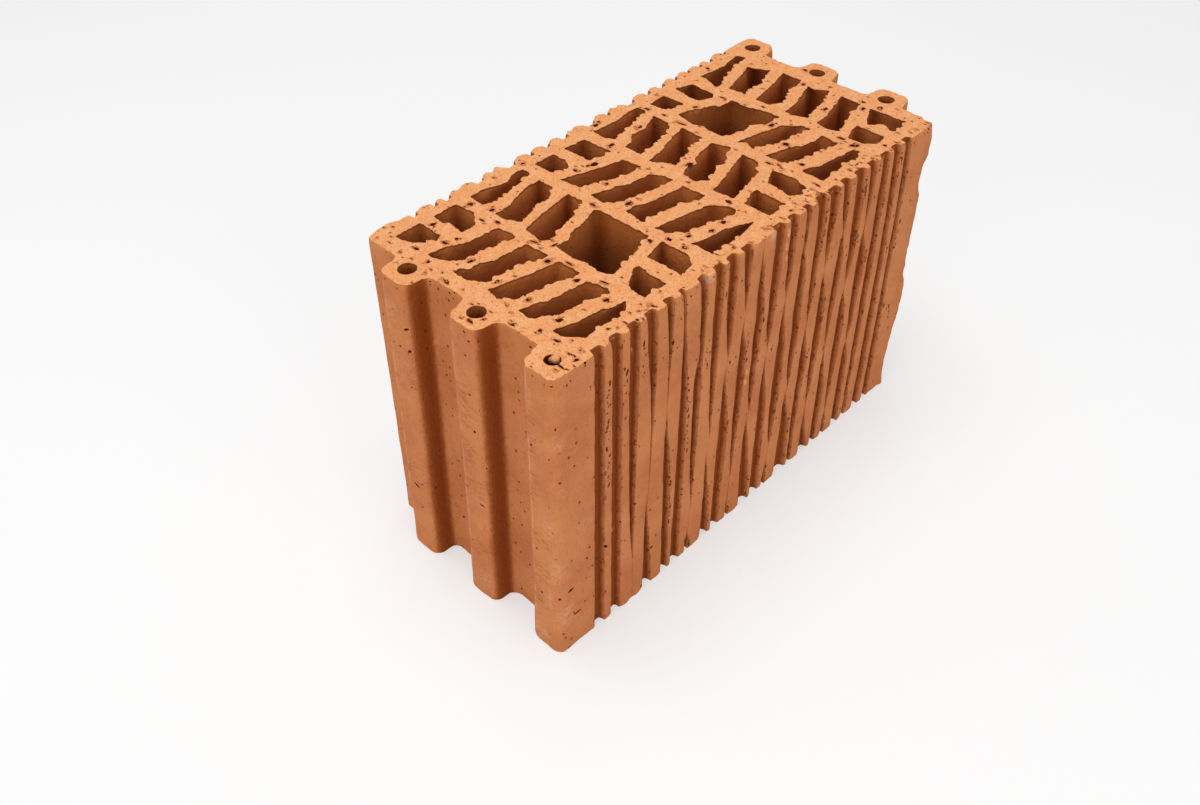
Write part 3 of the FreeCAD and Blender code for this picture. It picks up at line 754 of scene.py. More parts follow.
def untangled(loop):
    """A closed loop that no longer crosses itself, smoothed only where it did."""
    count = len(loop)
    for _ in range(UNTANGLING_ROUNDS):
        start, end = loop, np.roll(loop, -1, axis=0)
        along = end - start

        def side(point):
            gap = point[None, :, :] - start[:, None, :]
            return along[:, 0, None] * gap[:, :, 1] - along[:, 1, None] * gap[:, :, 0]

        split = side(start) * side(end) <= 0
        crossing = np.argwhere(split & split.T)
        crossing = [(a, b) for a, b in crossing if 1 < (b - a) % count < count - 1]
        if not crossing:
            break
        knots = {(a + step) % count for a, b in crossing for step in range(-3, 5)}
        calm = softened(loop, 2)
        loop = np.array([calm[number] if number in knots else loop[number] for number in range(count)])
    return loop


def cell_loops(key, outline):
    """A cell's clean outline and its torn one, point for point."""
    corners = cell_corners(*key)
    marks = [0]
    for number in (1, 2, 3):
        free = range(marks[-1] + 1, len(outline) - 3 + number)
        marks.append(min(free, key=lambda place: math.dist(outline[place], corners[number])))
    clean, torn = [], []
    for number in range(4):
        start, end = corners[number], corners[(number + 1) % 4]
        count = FINE_PER_COARSE * max(3, round(math.dist(start, end) / COARSE_STEP))
        shares = [step / count for step in range(count)]
        last = marks[number + 1] if number < 3 else len(outline)
        section = list(outline[marks[number]:last + 1])
        section += [outline[0]] if number == 3 else []
        clean.append(along([start, end], shares))
        torn.append(along(section, shares))
    return softened(np.vstack(clean), CLEAN_PASSES), softened(np.vstack(torn), TORN_PASSES)


def lobes(loop, chance):
    """How far round lobes of torn clay hang over a rim at each of its points."""
    steps = np.linalg.norm(np.roll(loop, -1, axis=0) - loop, axis=1)
    places = np.cumsum(steps) - steps
    reach = np.zeros(len(loop))
    spot = chance.uniform(2.0, 6.0)
    while spot < steps.sum() - 3.0:
        radius = chance.uniform(*LOBE_RADII)
        away = np.abs(places - spot) / radius
        reach += 0.7 * radius * np.sqrt(np.clip(1.0 - away * away, 0.0, 1.0))
        reach -= 0.3 * np.exp(-((away - 1.2) / 0.25) ** 2)
        spot += chance.uniform(*LOBE_GAPS) + radius
    return reach


def cell_rings(key, outline):
    """The rings of a cell's wall from the top down, and how near its corners each point lies."""
    clean, torn = cell_loops(key, outline)
    inward = loop_normals(clean)
    hanging = lobes(torn, random.Random(SEED + sum(key) + 10 * key[0]))
    frayed = []
    for (x, y), backwards, lobe in zip(torn, inward[:, 1], hanging):
        ragged = 1.0 if backwards > 0.3 else 0.3
        hang = ragged * (lobe + 0.3 * rough(x, y, 0, 2.4, 4.0))
        frayed.append(hang + TEETH * rough(x, y, 0, 1.1, 3.0))
    steady = (np.roll(inward, 3, axis=0) * np.roll(inward, -3, axis=0)).sum(axis=1)
    steady = smooth((steady - 0.2) / 0.6)
    frayed = np.array(frayed) * steady
    # How near the corners a point lies, for the painted shade that darkens them
    corner = softened(1.0 - steady, SHADE_PASSES)
    torn = untangled(torn + inward * frayed[:, None])
    reach = ((torn - clean) * inward).sum(axis=1)
    rings = []
    for level, (z, lip, bite) in enumerate(zip(CELL_HEIGHTS, LIP_SHARES, BITE_SHARES)):
        share = np.where(reach > 0, lip, bite)[:, None]
        ring = clean + (torn - clean) * share
        if level >= FINE_LEVELS:
            rings.append(coarse(ring, inward, z))
            continue
        swell = [0.25 * rough(x, y, z, 9.0, 6.0) for x, y in ring]
        rings.append(ring + inward * np.array(swell)[:, None] * (share < 0.5))
    return rings, corner / corner.max()


def coarse(ring, inward, z):
    """One ring of the lower wall of a cell, with every third point, frayed at the bottom cut."""
    ring, inward = ring[::FINE_PER_COARSE], inward[::FINE_PER_COARSE]
    frayed = 0.7 * math.exp(-z / 1.5)
    reach = [0.25 * rough(x, y, z, 9.0, 6.0) + frayed * abs(rough(x, y, 1, 3.0, 8.0)) for x, y in ring]
    return ring + inward * np.array(reach)[:, None]


def core_rings(x, y, radius):
    """The rings of the round hole down a tongue."""
    angles = -np.arange(CORE_SIDES) * math.tau / CORE_SIDES
    circle = np.column_stack((np.cos(angles), np.sin(angles)))
    rings = []
    for z in CELL_HEIGHTS:
        flare = 0.35 * math.exp(-min(z, HEIGHT - z) / 1.0)
        radii = [radius + flare + 0.3 * rough(x + 9 * a, y + 9 * b, z, 6.0) for a, b in circle]
        rings.append(np.array((x, y)) + circle * np.array(radii)[:, None])
    return rings


def cut_height(x, y):
    """The height of the cut face: not quite flat, as the wire left it."""
    return HEIGHT - 0.1 + 0.2 * rough(x, y, 0, 16.0) + 0.14 * rough(x, y, 0, 3.0, 5.0)


class Clay:
    """A mesh as it grows: points, faces and what the material needs to know of each point."""

    def __init__(self):
        self.points, self.faces = [], []
        self.cut, self.hollow, self.pit = [], [], []

    def add(self, x, y, z, cut=0.0, hollow=0.0):
        self.points.append((x, y, z))
        self.cut.append(cut)
        self.hollow.append(hollow)
        return len(self.points) - 1

    def add_blob(self, middle, axes, cut, pit):
        """A closed, uneven blob with its three half axes given."""
        points, faces = FINE_BALL if max(axis.length for axis in axes) > FINE_BALL_FROM else COARSE_BALL
        first = len(self.points)
        for point in points:
            coarse, fine = noise.noise(point * 1.7 + middle), noise.noise(point * 4.0 - middle)
            share = 1 + UNEVEN * (coarse + 0.5 * fine)
            place = middle + sum((axis * value for axis, value in zip(axes, point)), Vector()) * share
            self.add(*place, cut)
        turned = axes[0].cross(axes[1]).dot(axes[2]) < 0
        for face in faces:
            self.faces.append(tuple(first + number for number in (reversed(face) if turned else face)))
            self.pit.append(pit)

    def to_object(self, name, material):
        """The mesh as an object of the scene, with its attributes and its material."""
        mesh = bpy.data.meshes.new(name)
        points = [tuple(MM * value for value in point) for point in self.points]
        mesh.from_pydata(points, [], self.faces)
        # The material paints shade from the hollow values, and paints the pits dark inside as shade by
        # their pit values
        labels = {
            "cut": self.cut,
            "hollow": self.hollow,
            "ripple": marked(self.points, RIPPLES),
            "scuff": marked(self.points, SCUFFS),
        }
        for label, values in labels.items():
            mesh.attributes.new(label, "FLOAT", "POINT").data.foreach_set("value", values)
        pits = self.pit or [0.0] * len(self.faces)
        mesh.attributes.new("pit", "FLOAT", "FACE").data.foreach_set("value", pits)
        mesh.materials.append(material)
        mesh.polygons.foreach_set("use_smooth", [True] * len(mesh.polygons))
        mesh.update()
        return new_object(name, mesh)

    def seen_from_above(self, loops):
        """The places of the loops' points along X and Y."""
        return [[self.points[point][:2] for point in loop] for loop in loops]

    def wall(self, rings, heights, hollows):
        """Join rings from the top down and give back the top ring's and the bottom ring's points."""
        rows = []
        for level, (ring, z, hollow) in enumerate(zip(rings, heights, hollows)):
            is_end = level in (0, len(heights) - 1)
            row = []
            for (x, y), deep in zip(ring, hollow):
                height = z - HEIGHT + cut_height(x, y) if level < CUT_LEVELS else z
                row.append(self.add(x, y, height, float(is_end), deep))
            rows.append(row)
        for upper, lower in zip(rows, rows[1:]):
            skip = len(upper) // len(lower)
            for n in range(len(lower)):
                m = (n + 1) % len(lower)
                between = [upper[(n * skip + step) % len(upper)] for step in range(skip, -1, -1)]
                self.faces.append((lower[n], lower[m], *between))
        return rows[0], rows[-1]

    def cap(self, loops, extra, upwards):
        """Fill between the loops with triangles through extra points."""
        order = [point for loop in loops for point in loop] + extra
        edges, start = [], 0
        for loop in loops:
            count = len(loop)
            edges += [(start + n, start + (n + 1) % count) for n in range(count)]
            start += count
        flat = [Vector(self.points[point][:2]) for point in order]
        places, _, triangles, origins = delaunay_2d_cdt(flat, edges, [], 0, 1e-5, True)[:4]
        sources = []
        for (x, y), origin in zip(places, origins):
            if origin:
                sources.append(order[origin[0]])
            else:
                sources.append(self.add(x, y, cut_height(x, y) if upwards else 0.0, 1.0))
        middles = [sum((places[number] for number in face), Vector((0, 0))) / 3 for face in triangles]
        for triangle, kept in zip(triangles, within(self.seen_from_above(loops), middles)):
            if not kept:
                continue
            face = [sources[corner] for corner in triangle]
            (ax, ay, _), (bx, by, _), (cx, cy, _) = (self.points[point] for point in face)
            turn = (bx - ax) * (cy - ay) - (by - ay) * (cx - ax)
            if (turn > 0) != upwards:
                face.reverse()
            self.faces.append(tuple(face))


def new_object(name, data):
    """An object of the scene that holds a mesh, a lamp or a camera."""
    thing = bpy.data.objects.new(name, data)
    bpy.context.scene.collection.objects.link(thing)
    return thing


def within(loops, places):
    """Whether each place is in the clay: inside the outer loop and outside the others."""
    starts = np.vstack([np.array(loop) for loop in loops])
    ends = np.vstack([np.roll(np.array(loop), -1, axis=0) for loop in loops])
    rise = np.where(ends[:, 1] == starts[:, 1], 1.0, ends[:, 1] - starts[:, 1])
    inside = []
    for x, y in places:
        spans = (starts[:, 1] > y) != (ends[:, 1] > y)
        crossing = starts[:, 0] + (y - starts[:, 1]) * (ends[:, 0] - starts[:, 0]) / rise
        inside.append(np.count_nonzero(spans & (crossing > x)) % 2 == 1)
    return inside


def scattered(loops, step, clearance, seed):
    """Points about a step apart inside the outline, clear of every loop's points."""
    chance = random.Random(seed)
    is_clear = clear_of(loops, clearance)
    found = []
    for x in np.arange(LOW[0], HIGH[0], step):
        for y in np.arange(LOW[1], HIGH[1], step):
            off_x, off_y = chance.uniform(-JITTER, JITTER), chance.uniform(-JITTER, JITTER)
            place = (x + off_x * step, y + off_y * step)
            if is_clear(*place):
                found.append(place)
    return [place for place, kept in zip(found, within(loops, found)) if kept]


def clear_of(loops, clearance):
    """A test of whether a place keeps its distance from every point of the loops."""
    edge_points = [point for loop in loops for point in loop]
    tree = kdtree.KDTree(len(edge_points))
    for number, (x, y) in enumerate(edge_points):
        tree.insert((x, y, 0.0), number)
    tree.balance()
    return lambda x, y: tree.find((x, y, 0.0))[2] > clearance


def all_wells():
    """Every cell and core: its rings, how near its corners each point lies, and its painted shade."""
    for key, outline in CELL_OUTLINES.items():
        yield *cell_rings(key, outline), GRIP_SHADE if key in GRIPS else CELL_SHADE
    core_y = HALF_WIDTH - (TIP_WIDTH + ROOT_WIDTH) / 4
    no_corners = np.zeros(CORE_SIDES)
    for number in range(TONGUES):
        y = core_y - number * TONGUE_PITCH
        yield core_rings(TIP - CORE_INSET, y, CORE_RADIUS), no_corners, CORE_SHADE
        choked = number == 0
        rings = core_rings(CORE_INSET - TIP, -y, CHOKED_RADIUS if choked else CORE_RADIUS)
        yield rings, no_corners, CHOKED_SHADE if choked else CORE_SHADE


def grow_clay():
    """The whole block as one closed mesh."""
    clay = Clay()
    rings, hollows = zip(*(skin_ring(z) for z in SKIN_HEIGHTS))
    ends = [clay.wall(rings, SKIN_HEIGHTS, hollows)]
    for rings, corner, inside in all_wells():
        # Painted shade of the walls, darker towards the corners, and the top ring marked for the
        # painted shadow under the rim
        shade = inside + (CORNER_SHADE - inside) * corner
        hollows = [shade[::len(shade) // len(ring)] for ring in rings]
        hollows[0] = np.full(len(corner), RIM_SHADE)
        ends.append(clay.wall(rings, CELL_HEIGHTS, hollows))
    tops, bottoms = zip(*ends)
    places = scattered(clay.seen_from_above(tops), TOP_STEP, TOP_CLEARANCE, SEED + 1)
    clay.cap(tops, [clay.add(x, y, cut_height(x, y), 1.0) for x, y in places], True)
    places = scattered(clay.seen_from_above(bottoms), FOOT_STEP, FOOT_CLEARANCE, SEED)
    clay.cap(bottoms, [clay.add(x, y, 0.25 + 0.2 * rough(x, y, 9, 3.0), 1.0) for x, y in places], False)
    return clay


def ball(subdivisions):
    """The points and faces of a ball of triangles with a radius of one."""
    mesh = bmesh.new()
    bmesh.ops.create_icosphere(mesh, subdivisions=subdivisions, radius=1.0)
    points = [vertex.co.copy() for vertex in mesh.verts]
    faces = [tuple(vertex.index for vertex in face.verts) for face in mesh.faces]
    mesh.free()
    return points, faces


COARSE_BALL, FINE_BALL = ball(1), ball(2)

# For each side of the block: the directions across it, up it and out of it
X, Y, Z = Vector((1, 0, 0)), Vector((0, 1, 0)), Vector((0, 0, 1))
SIDES = {
    "top": (X, Y, Z),
    "front": (X, Z, -Y),
    "back": (-X, Z, Y),
    "near": (-Y, Z, -X),
    "far": (Y, Z, X),
}


class Holes:
    """Small holes of the clay, gathered as blobs that are then cut out of it together."""

    def __init__(self, clay):
        self.ground = BVHTree.FromPolygons(clay.points, clay.faces)
        self.blobs = Clay()
        self.chance = random.Random(SEED + 3)

    def find(self, side, across, up):
        """Where a straight line onto one side of the block meets the clay, and how deep that is."""
        right, upwards, out = SIDES[side]
        spot, normal = self.ground.ray_cast(right * across + upwards * up + out * FAR_OUT, -out)[:2]
        level = {"top": HEIGHT, "front": HALF_WIDTH, "back": HALF_WIDTH}.get(side, TIP)
        return spot, (NO_CLAY if spot is None or normal.dot(out) < FACES_OUT else level - spot.dot(out))

    def dig(self, side, across, up, width, height, depth, lean=0.0, pit=1.0):
        """Add a hole at a place on one side, if there is clay near the surface there."""
        right, upwards, out = SIDES[side]
        spot, below = self.find(side, across, up)
        if below > DEEPEST.get(side, DEEPEST_UPRIGHT):
            return
        turn = math.radians(lean)
        first = right * math.cos(turn) + upwards * math.sin(turn)
        second = upwards * math.cos(turn) - right * math.sin(turn)
        axes = (first * width / 2, second * height / 2, out * depth)
        # The pit value says how dark the inside of the hole is painted as shade
        self.blobs.add_blob(spot + out * 0.1 * depth, axes, 0.0, pit)

    def scatter(self, side, count, spread, widths, heights, pit):
        """Add small holes at random over a part of one side."""
        draw = self.chance.uniform
        left, right, low, high = spread
        for _ in range(count):
            width, height = draw(*widths), draw(*heights)
            across, up = draw(left, right), draw(low, high)
            self.dig(side, across, up, width, height, 0.9 * width, draw(-14, 14), pit)


def dig_pits(holes):
    """The larger holes of the cut face, each with a smaller one beside it."""
    draw = holes.chance.uniform
    for x, y, width, height in PITS:
        size = min(width, height)
        holes.dig("top", x, y, width, height, PIT_DEPTH * size, draw(-PIT_LEAN, PIT_LEAN))
        across = x + draw(-SMALL_PIT_ASIDE, SMALL_PIT_ASIDE) * width
        up = y + draw(-SMALL_PIT_ASIDE, SMALL_PIT_ASIDE) * height
        small = [SMALL_PIT * length for length in (width, height, size)]
        holes.dig("top", across, up, *small, draw(-SMALL_PIT_LEAN, SMALL_PIT_LEAN))


def dig_rows(holes):
    """The rows of small pits down the front face, each of them moved onto a rib."""
    draw = holes.chance.uniform
    for x, top, bottom in PIT_ROWS:
        z = top
        while z > bottom:
            across = x + draw(-ROW_WANDER, ROW_WANDER)
            for _ in range(RIB_TRIES):
                if holes.find("front", across, z)[1] <= ON_RIB:
                    break
                across += RIB_STEP
            height = ROW_HEIGHT + ROW_HEIGHT_MORE * draw(0, 1) ** 2
            width, depth = draw(*ROW_WIDTHS), draw(*ROW_DEPTHS)
            lean, shade = draw(-ROW_LEAN, ROW_LEAN), draw(*ROW_SHADES)
            holes.dig("front", across, z, width, height, depth, lean, shade)
            z -= ROW_GAP + 0.5 * height + ROW_GAP_MORE * draw(0, 1) ** 2


def nibble_grooves(holes):
    """Small bites out of the edges of the front face's grooves, where they are open."""
    draw = holes.chance.uniform
    for number, rows in enumerate(FRONT_GROOVES):
        z = draw(*FIRST_BITES)
        while z < LAST_BITE:
            left, right, _ = groove_edges(rows, number, z)
            across = left - 0.2 if draw(0, 1) < 0.4 else right + 0.2
            if right - left > OPEN_WIDTH:
                place = X * across + Z * z - Y * (HALF_WIDTH + 0.1)
                height = BITE_HEIGHT + BITE_HEIGHT_MORE * draw(0, 1) ** 2
                axes = (X * draw(*BITE_WIDTHS), Z * height, Y * draw(*BITE_WIDTHS))
                # Each bite is painted up to half dark inside as shade
                holes.blobs.add_blob(place, axes, 0.0, draw(0, 0.5))
            z += draw(*BITE_GAPS)


def dig_holes(clay):
    """All the small holes: those read off the photograph, and others like them elsewhere."""
    holes = Holes(clay)
    dig_pits(holes)
    dig_rows(holes)
    for side, places in (("front", FRONT_HOLES), ("near", NEAR_HOLES)):
        for across, up, width, height, lean in places:
            holes.dig(side, across, up, width, height, 0.6 * min(width, height), lean)
    nibble_grooves(holes)
    for strewn in STREWN_HOLES:
        holes.scatter(*strewn)
    return holes.blobs


def evaluated(thing):
    """The mesh that an object's modifiers give."""
    graph = bpy.context.evaluated_depsgraph_get()
    graph.update()
    return bpy.data.meshes.new_from_object(thing.evaluated_get(graph), depsgraph=graph)


def make_block(material):
    """The block as one closed mesh, with its holes cut out of it."""
    clay = grow_clay()
    block = clay.to_object("clay_body", material)
    cutter = dig_holes(clay).to_object("holes", material)
    cutting = block.modifiers.new("holes", "BOOLEAN")
    cutting.operation = "DIFFERENCE"
    cutting.solver = "MANIFOLD"
    cutting.object = cutter
    mesh = evaluated(block)
    block.modifiers.remove(cutting)
    bpy.data.objects.remove(cutter)
    block.data = mesh
    mesh.name = "clay_body"
    mesh.polygons.foreach_set("material_index", [0] * len(mesh.polygons))
    while len(mesh.materials) > 1:
        mesh.materials.pop()
    mesh.set_sharp_from_angle(angle=math.radians(SHARP_FROM))
    return block


def make_lumps(material):
    """The lumps of clay that stuck to the block."""
    lumps = Clay()
    for x, y, z, along_x, along_y, along_z in LUMPS:
        lumps.add_blob(Vector((x, y, z)), (X * along_x, Y * along_y, Z * along_z), 1.0, 0.0)
    return lumps.to_object("clay_lumps", material)


class Wire:
    """An output socket, so that sums of sockets read as Python."""

    def __init__(self, nodes, socket):
        self.nodes, self.socket = nodes, socket

    def math(self, operation, first, second):
        return self.nodes.node("ShaderNodeMath", {"operation": operation}, {0: first, 1: second})

    def __add__(self, other):
        return self.math("ADD", self, other)

    def __radd__(self, other):
        return self.math("ADD", other, self)

    def __sub__(self, other):
        return self.math("SUBTRACT", self, other)

    def __rsub__(self, other):
        return self.math("SUBTRACT", other, self)

    def __mul__(self, other):
        return self.math("MULTIPLY", self, other)

    def __rmul__(self, other):
        return self.math("MULTIPLY", other, self)

    def __truediv__(self, other):
        return self.math("DIVIDE", self, other)


class Nodes:
    """A tree of nodes, all made by one method."""

    def __init__(self, tree):
        self.tree = tree
        self.tree.nodes.clear()

    def node(self, kind, settings=None, inputs=None, output=0):
        """Add a node, set it up, feed its sockets and give back one output."""
        node = self.tree.nodes.new(kind)
        for name, value in (settings or {}).items():
            setattr(node, name, value)
        for name, value in (inputs or {}).items():
            if isinstance(value, Wire):
                self.tree.links.new(value.socket, node.inputs[name])
            else:
                node.inputs[name].default_value = value
        return Wire(self, node.outputs[output]) if node.outputs else node


def crumb_tree():
    """Geometry Nodes that strew small grains over the cut face, each of them half sunk in it."""
    tree = bpy.data.node_groups.new("strewn_crumbs", "GeometryNodeTree")
    kinds = {
        "Clay": "Geometry",
        "Grain Size": "Float",
        "Density": "Float",
        "Seed": "Int",
        "Material": "Material",
    }
    for name, kind in kinds.items():
        tree.interface.new_socket(name, in_out="INPUT", socket_type=f"NodeSocket{kind}")
    tree.interface.new_socket("Crumbs", in_out="OUTPUT", socket_type="NodeSocketGeometry")
    node = Nodes(tree).node
    clay, radius, density, seed, material = (node("NodeGroupInput", output=name) for name in kinds)
    number, vector = {"data_type": "FLOAT"}, {"data_type": "FLOAT_VECTOR"}
    above = {"operation": "GREATER_THAN"}

    cut = node("GeometryNodeInputNamedAttribute", number, {"Name": "cut"})
    on_cut = node("FunctionNodeCompare", above, {0: cut, 1: 0.9})
    facing = node("ShaderNodeSeparateXYZ", inputs={0: node("GeometryNodeInputNormal")}, output=2)
    upward = node("FunctionNodeCompare", above, {0: facing, 1: 0.95})
    chosen = node("FunctionNodeBooleanMath", {"operation": "AND"}, {0: on_cut, 1: upward})
    sockets = {"Mesh": clay, "Selection": chosen, "Density": density, "Seed": seed}
    spots = node("GeometryNodeDistributePointsOnFaces", inputs=sockets, output="Points")

    sockets = {"Radius": radius, "Subdivisions": 1}
    grain = node("GeometryNodeMeshIcoSphere", inputs=sockets, output="Mesh")
    sockets = {0: (0, 0, 0), 1: (0.3, 0.3, math.tau), "Seed": seed}
    turn = node("FunctionNodeRandomValue", vector, sockets)
    sockets = {0: (0.4, 0.4, 0.2), 1: (1.3, 1.6, 0.6), "Seed": seed}
    size = node("FunctionNodeRandomValue", vector, sockets)
    sockets = {"Points": spots, "Instance": grain, "Rotation": turn, "Scale": size}
    strewn = node("GeometryNodeInstanceOnPoints", inputs=sockets)
    real = node("GeometryNodeRealizeInstances", inputs={0: strewn})
    sockets = {"Geometry": real, "Name": "cut", "Value": 1.0}
    named = node("GeometryNodeStoreNamedAttribute", number, sockets)
    painted = node("GeometryNodeSetMaterial", inputs={"Geometry": named, "Material": material})
    node("NodeGroupOutput", inputs={0: painted})
    return tree


def make_crumbs(block, material):
    """Grains of torn clay on the cut face, made by Geometry Nodes."""
    crumbs = new_object("clay_crumbs", block.data)
    strewing = crumbs.modifiers.new("crumbs", "NODES")
    strewing.node_group = crumb_tree()
    sizes = {"Grain Size": GRAIN_RADIUS, "Density": GRAIN_DENSITY, "Seed": SEED, "Material": material}
    for socket in strewing.node_group.interface.items_tree:
        if socket.in_out == "INPUT" and socket.name in sizes:
            strewing[socket.identifier] = sizes[socket.name]
    mesh = evaluated(crumbs)
    crumbs.modifiers.remove(strewing)
    crumbs.data = mesh
    mesh.name = "clay_crumbs"
    return crumbs


class Paint(Nodes):
    """The nodes of a material or of the world."""

    def __init__(self, owner):
        owner.use_nodes = True
        super().__init__(owner.node_tree)
        self.owner = owner

    def step(self, value, low, high):
        """A mask that goes from 0 at the low value to 1 at the high one."""
        settings = {"interpolation_type": "SMOOTHSTEP"}
        return self.node("ShaderNodeMapRange", settings, {0: value, 1: low, 2: high})

    def mix(self, share, first, second):
        """Two colours mixed by a share."""
        settings = {"data_type": "RGBA", "blend_type": "MIX"}
        return self.node("ShaderNodeMix", settings, {0: share, 6: first, 7: second}, 2)

    def layered(self, colour, *layers):
        """A colour with others laid over it in turn, each by its own share."""
        for share, other in layers:
            colour = self.mix(share, colour, other)
        return colour

    def directly_seen(self):
        """1 where the camera looks straight at a surface, or by way of a mirror or glass."""
        rays = ("Is Camera Ray", "Is Glossy Ray", "Is Transmission Ray")
        seen, mirrored, through = (self.node("ShaderNodeLightPath", output=ray) for ray in rays)
        return seen + mirrored + through

    def attribute(self, name):
        """A number that the mesh holds for each point or face."""
        return self.node("ShaderNodeAttribute", {"attribute_name": name}, output=2)

    def finish(self, shader, kind="Material"):
        """Feed the output and give back the material or the world."""
        self.node(f"ShaderNodeOutput{kind}", inputs={"Surface": shader})
        return self.owner


def rgb(red, green, blue):
    """A colour given as it shows on a screen, from 0 to 255, as the linear one that nodes take."""
    shares = [value / 255 for value in (red, green, blue)]
    linear = [((s + 0.055) / 1.055) ** 2.4 if s > 0.04 else s / 12.92 for s in shares]
    return (*linear, 1.0)


SKIN = rgb(213, 136, 84)
SKIN_WARM = rgb(222, 138, 78)
SKIN_BROWN = rgb(200, 121, 72)
CUT = rgb(250, 172, 112)
CUT_PALE = rgb(254, 188, 132)
CUT_DEEP = rgb(232, 142, 84)
TEAR = rgb(212, 130, 78)
# Painted shade of grooves, recesses and cells, and also the colour of grain marks and ripples
SHADE_AND_GRAIN_BROWN = rgb(139, 65, 8)
WELL = rgb(234, 142, 76)
# Painted shade inside pits, torn groove edges and the choked core, and also the colour of burnt grit
GRIT_AND_SHADE_BLACK = rgb(84, 34, 9)
# Painted shadow under the rims of the cells, and also the colour of dark flecks on the skin
RIM_SHADOW_AND_FLECK = rgb(118, 56, 20)
SCUFF = rgb(236, 192, 158)


def fired_clay():
    """Fired clay: dragged skin, a torn grainy face where the wire cut, painted shade in pits and
    hollows.
    """
    paint = Paint(bpy.data.materials.new("fired_clay"))
    mix, step, layered = paint.mix, paint.step, paint.layered
    place = paint.node("ShaderNodeTexCoord", output=3)
    scaled = paint.node("ShaderNodeVectorMath", {"operation": "SCALE"}, {0: place, "Scale": 1 / MM})
    across = paint.node("ShaderNodeSeparateXYZ", inputs={0: scaled}, output=1)
    up = paint.node("ShaderNodeSeparateXYZ", inputs={0: scaled}, output=2)

    def cloud(size, detail=2.0, roughness=0.5, stretch=(1, 1, 1), offset=(0, 0, 0)):
        scale = [share / size for share in stretch]
        spot = paint.node("ShaderNodeMapping", inputs={0: scaled, 1: offset, 3: scale})
        sockets = {"Vector": spot, "Scale": 1.0, "Detail": detail, "Roughness": roughness}
        return paint.node("ShaderNodeTexNoise", {"noise_dimensions": "3D"}, sockets)

    # Patterns of the clay, from wide patches down to the scratches of its grains
    patches = cloud(34.0, 3.0, 0.55)
    blotches = cloud(7.0, 3.0, 0.6, offset=(11, 4, 7))
    grain = cloud(0.9, 2.0, 0.7)
    streaks = cloud(1.4, 3.0, 0.6, stretch=(1, 1, 0.06))
    tears = cloud(1.7, 3.0, 0.7, stretch=(1, 0.7, 0.5), offset=(3, 9, 2))
    waves = cloud(1.3, 2.0, 0.6, stretch=(0.2, 0.2, 1), offset=(5, 2, 8))
    scratches = cloud(3.2, 5.0, 0.8, stretch=(1, 1, 1.4), offset=(7, 7, 1))

    # What part of the block a point lies on, as masks. The long sides lie beyond about 65 to each side
    # of the middle, so their mask goes by the square of the place across.
    labels = ("cut", "hollow", "pit", "ripple", "scuff")
    cut, hollow, pit, ripple, scuff = (paint.attribute(name) for name in labels)
    cut = step(cut, 0.35, 0.75)
    well = step(hollow, 1.02, 1.25)
    under = up * (HEIGHT - up) / HEIGHT
    # A painted shadow just under the rim of each cell
    rim = step(hollow, 1.02, 1.12) * (1 - step(under, 0.6, 1.7))
    # Painted shade in the corners and grips of the cells and down the cores, black where a core is
    # choked
    core = step(hollow, 1.5, CORE_SHADE)
    choked = step(hollow, CORE_SHADE, 3.6)
    seam = 1 - step(hollow, -0.9, -0.3)
    # Painted shade in the grooves of the long faces and on the flanks in the recesses of the ends
    groove = step(hollow + (tears - 0.5) * 0.45, 0.12, 0.95) * (1 - well)
    long_side = step(across * across, 4100, 4250)
    # Painted shade in the torn edges of the grooves
    lip = step(hollow, 0.02, 0.15) * (1 - step(hollow, 0.5, 0.9)) * long_side
    torn_lip_shade = lip * step(tears, 0.5, 0.58) * step(blotches, 0.48, 0.58)
    chip = step(scuff * step(up, 184.0, 188.5), 0.1, 0.9)

    skin = layered(
        SKIN_BROWN,
        (step(patches, 0.38, 0.66), SKIN),
        (step(blotches, 0.45, 0.75) * 0.5, SKIN_WARM),
        (step(streaks, 0.5, 0.75) * 0.4, SKIN_BROWN),
        (step(grain, 0.5, 0.72) * 0.35, SKIN_BROWN),
        (step(tears, 0.56, 0.68) * 0.2, RIM_SHADOW_AND_FLECK),
        # Painted shade of the grooves and recesses, then of the torn groove edges
        (groove * 0.95, SHADE_AND_GRAIN_BROWN),
        (torn_lip_shade * 0.6, GRIT_AND_SHADE_BLACK),
        (seam * step(blotches, 0.4, 0.6) * 0.3, SCUFF),
        (step(scratches, 0.42, 0.62) * scuff * 0.38, SCUFF),
        (chip * (0.22 + scratches * 0.3), SCUFF),
        (step(waves, 0.48, 0.62) * (0.03 + ripple * 0.38), SHADE_AND_GRAIN_BROWN),
    )
    walls = layered(
        WELL,
        (step(grain, 0.4, 0.75) * 0.15, SHADE_AND_GRAIN_BROWN),
        (step(tears, 0.48, 0.7) * 0.18, SHADE_AND_GRAIN_BROWN),
        # Painted shade, darker deeper down the cells, the painted shadow under the rims, and painted
        # shade in the corners, grips and cores
        (step(under, 3.0, 36.0) * 0.55, SHADE_AND_GRAIN_BROWN),
        (rim * 0.8, RIM_SHADOW_AND_FLECK),
        (core * 0.8, SHADE_AND_GRAIN_BROWN),
    )
    face = layered(
        CUT,
        (step(blotches, 0.35, 0.7), CUT_PALE),
        (step(grain, 0.46, 0.68) * 0.8, CUT_DEEP),
        (step(tears, 0.53, 0.68) * 0.75, TEAR),
    )

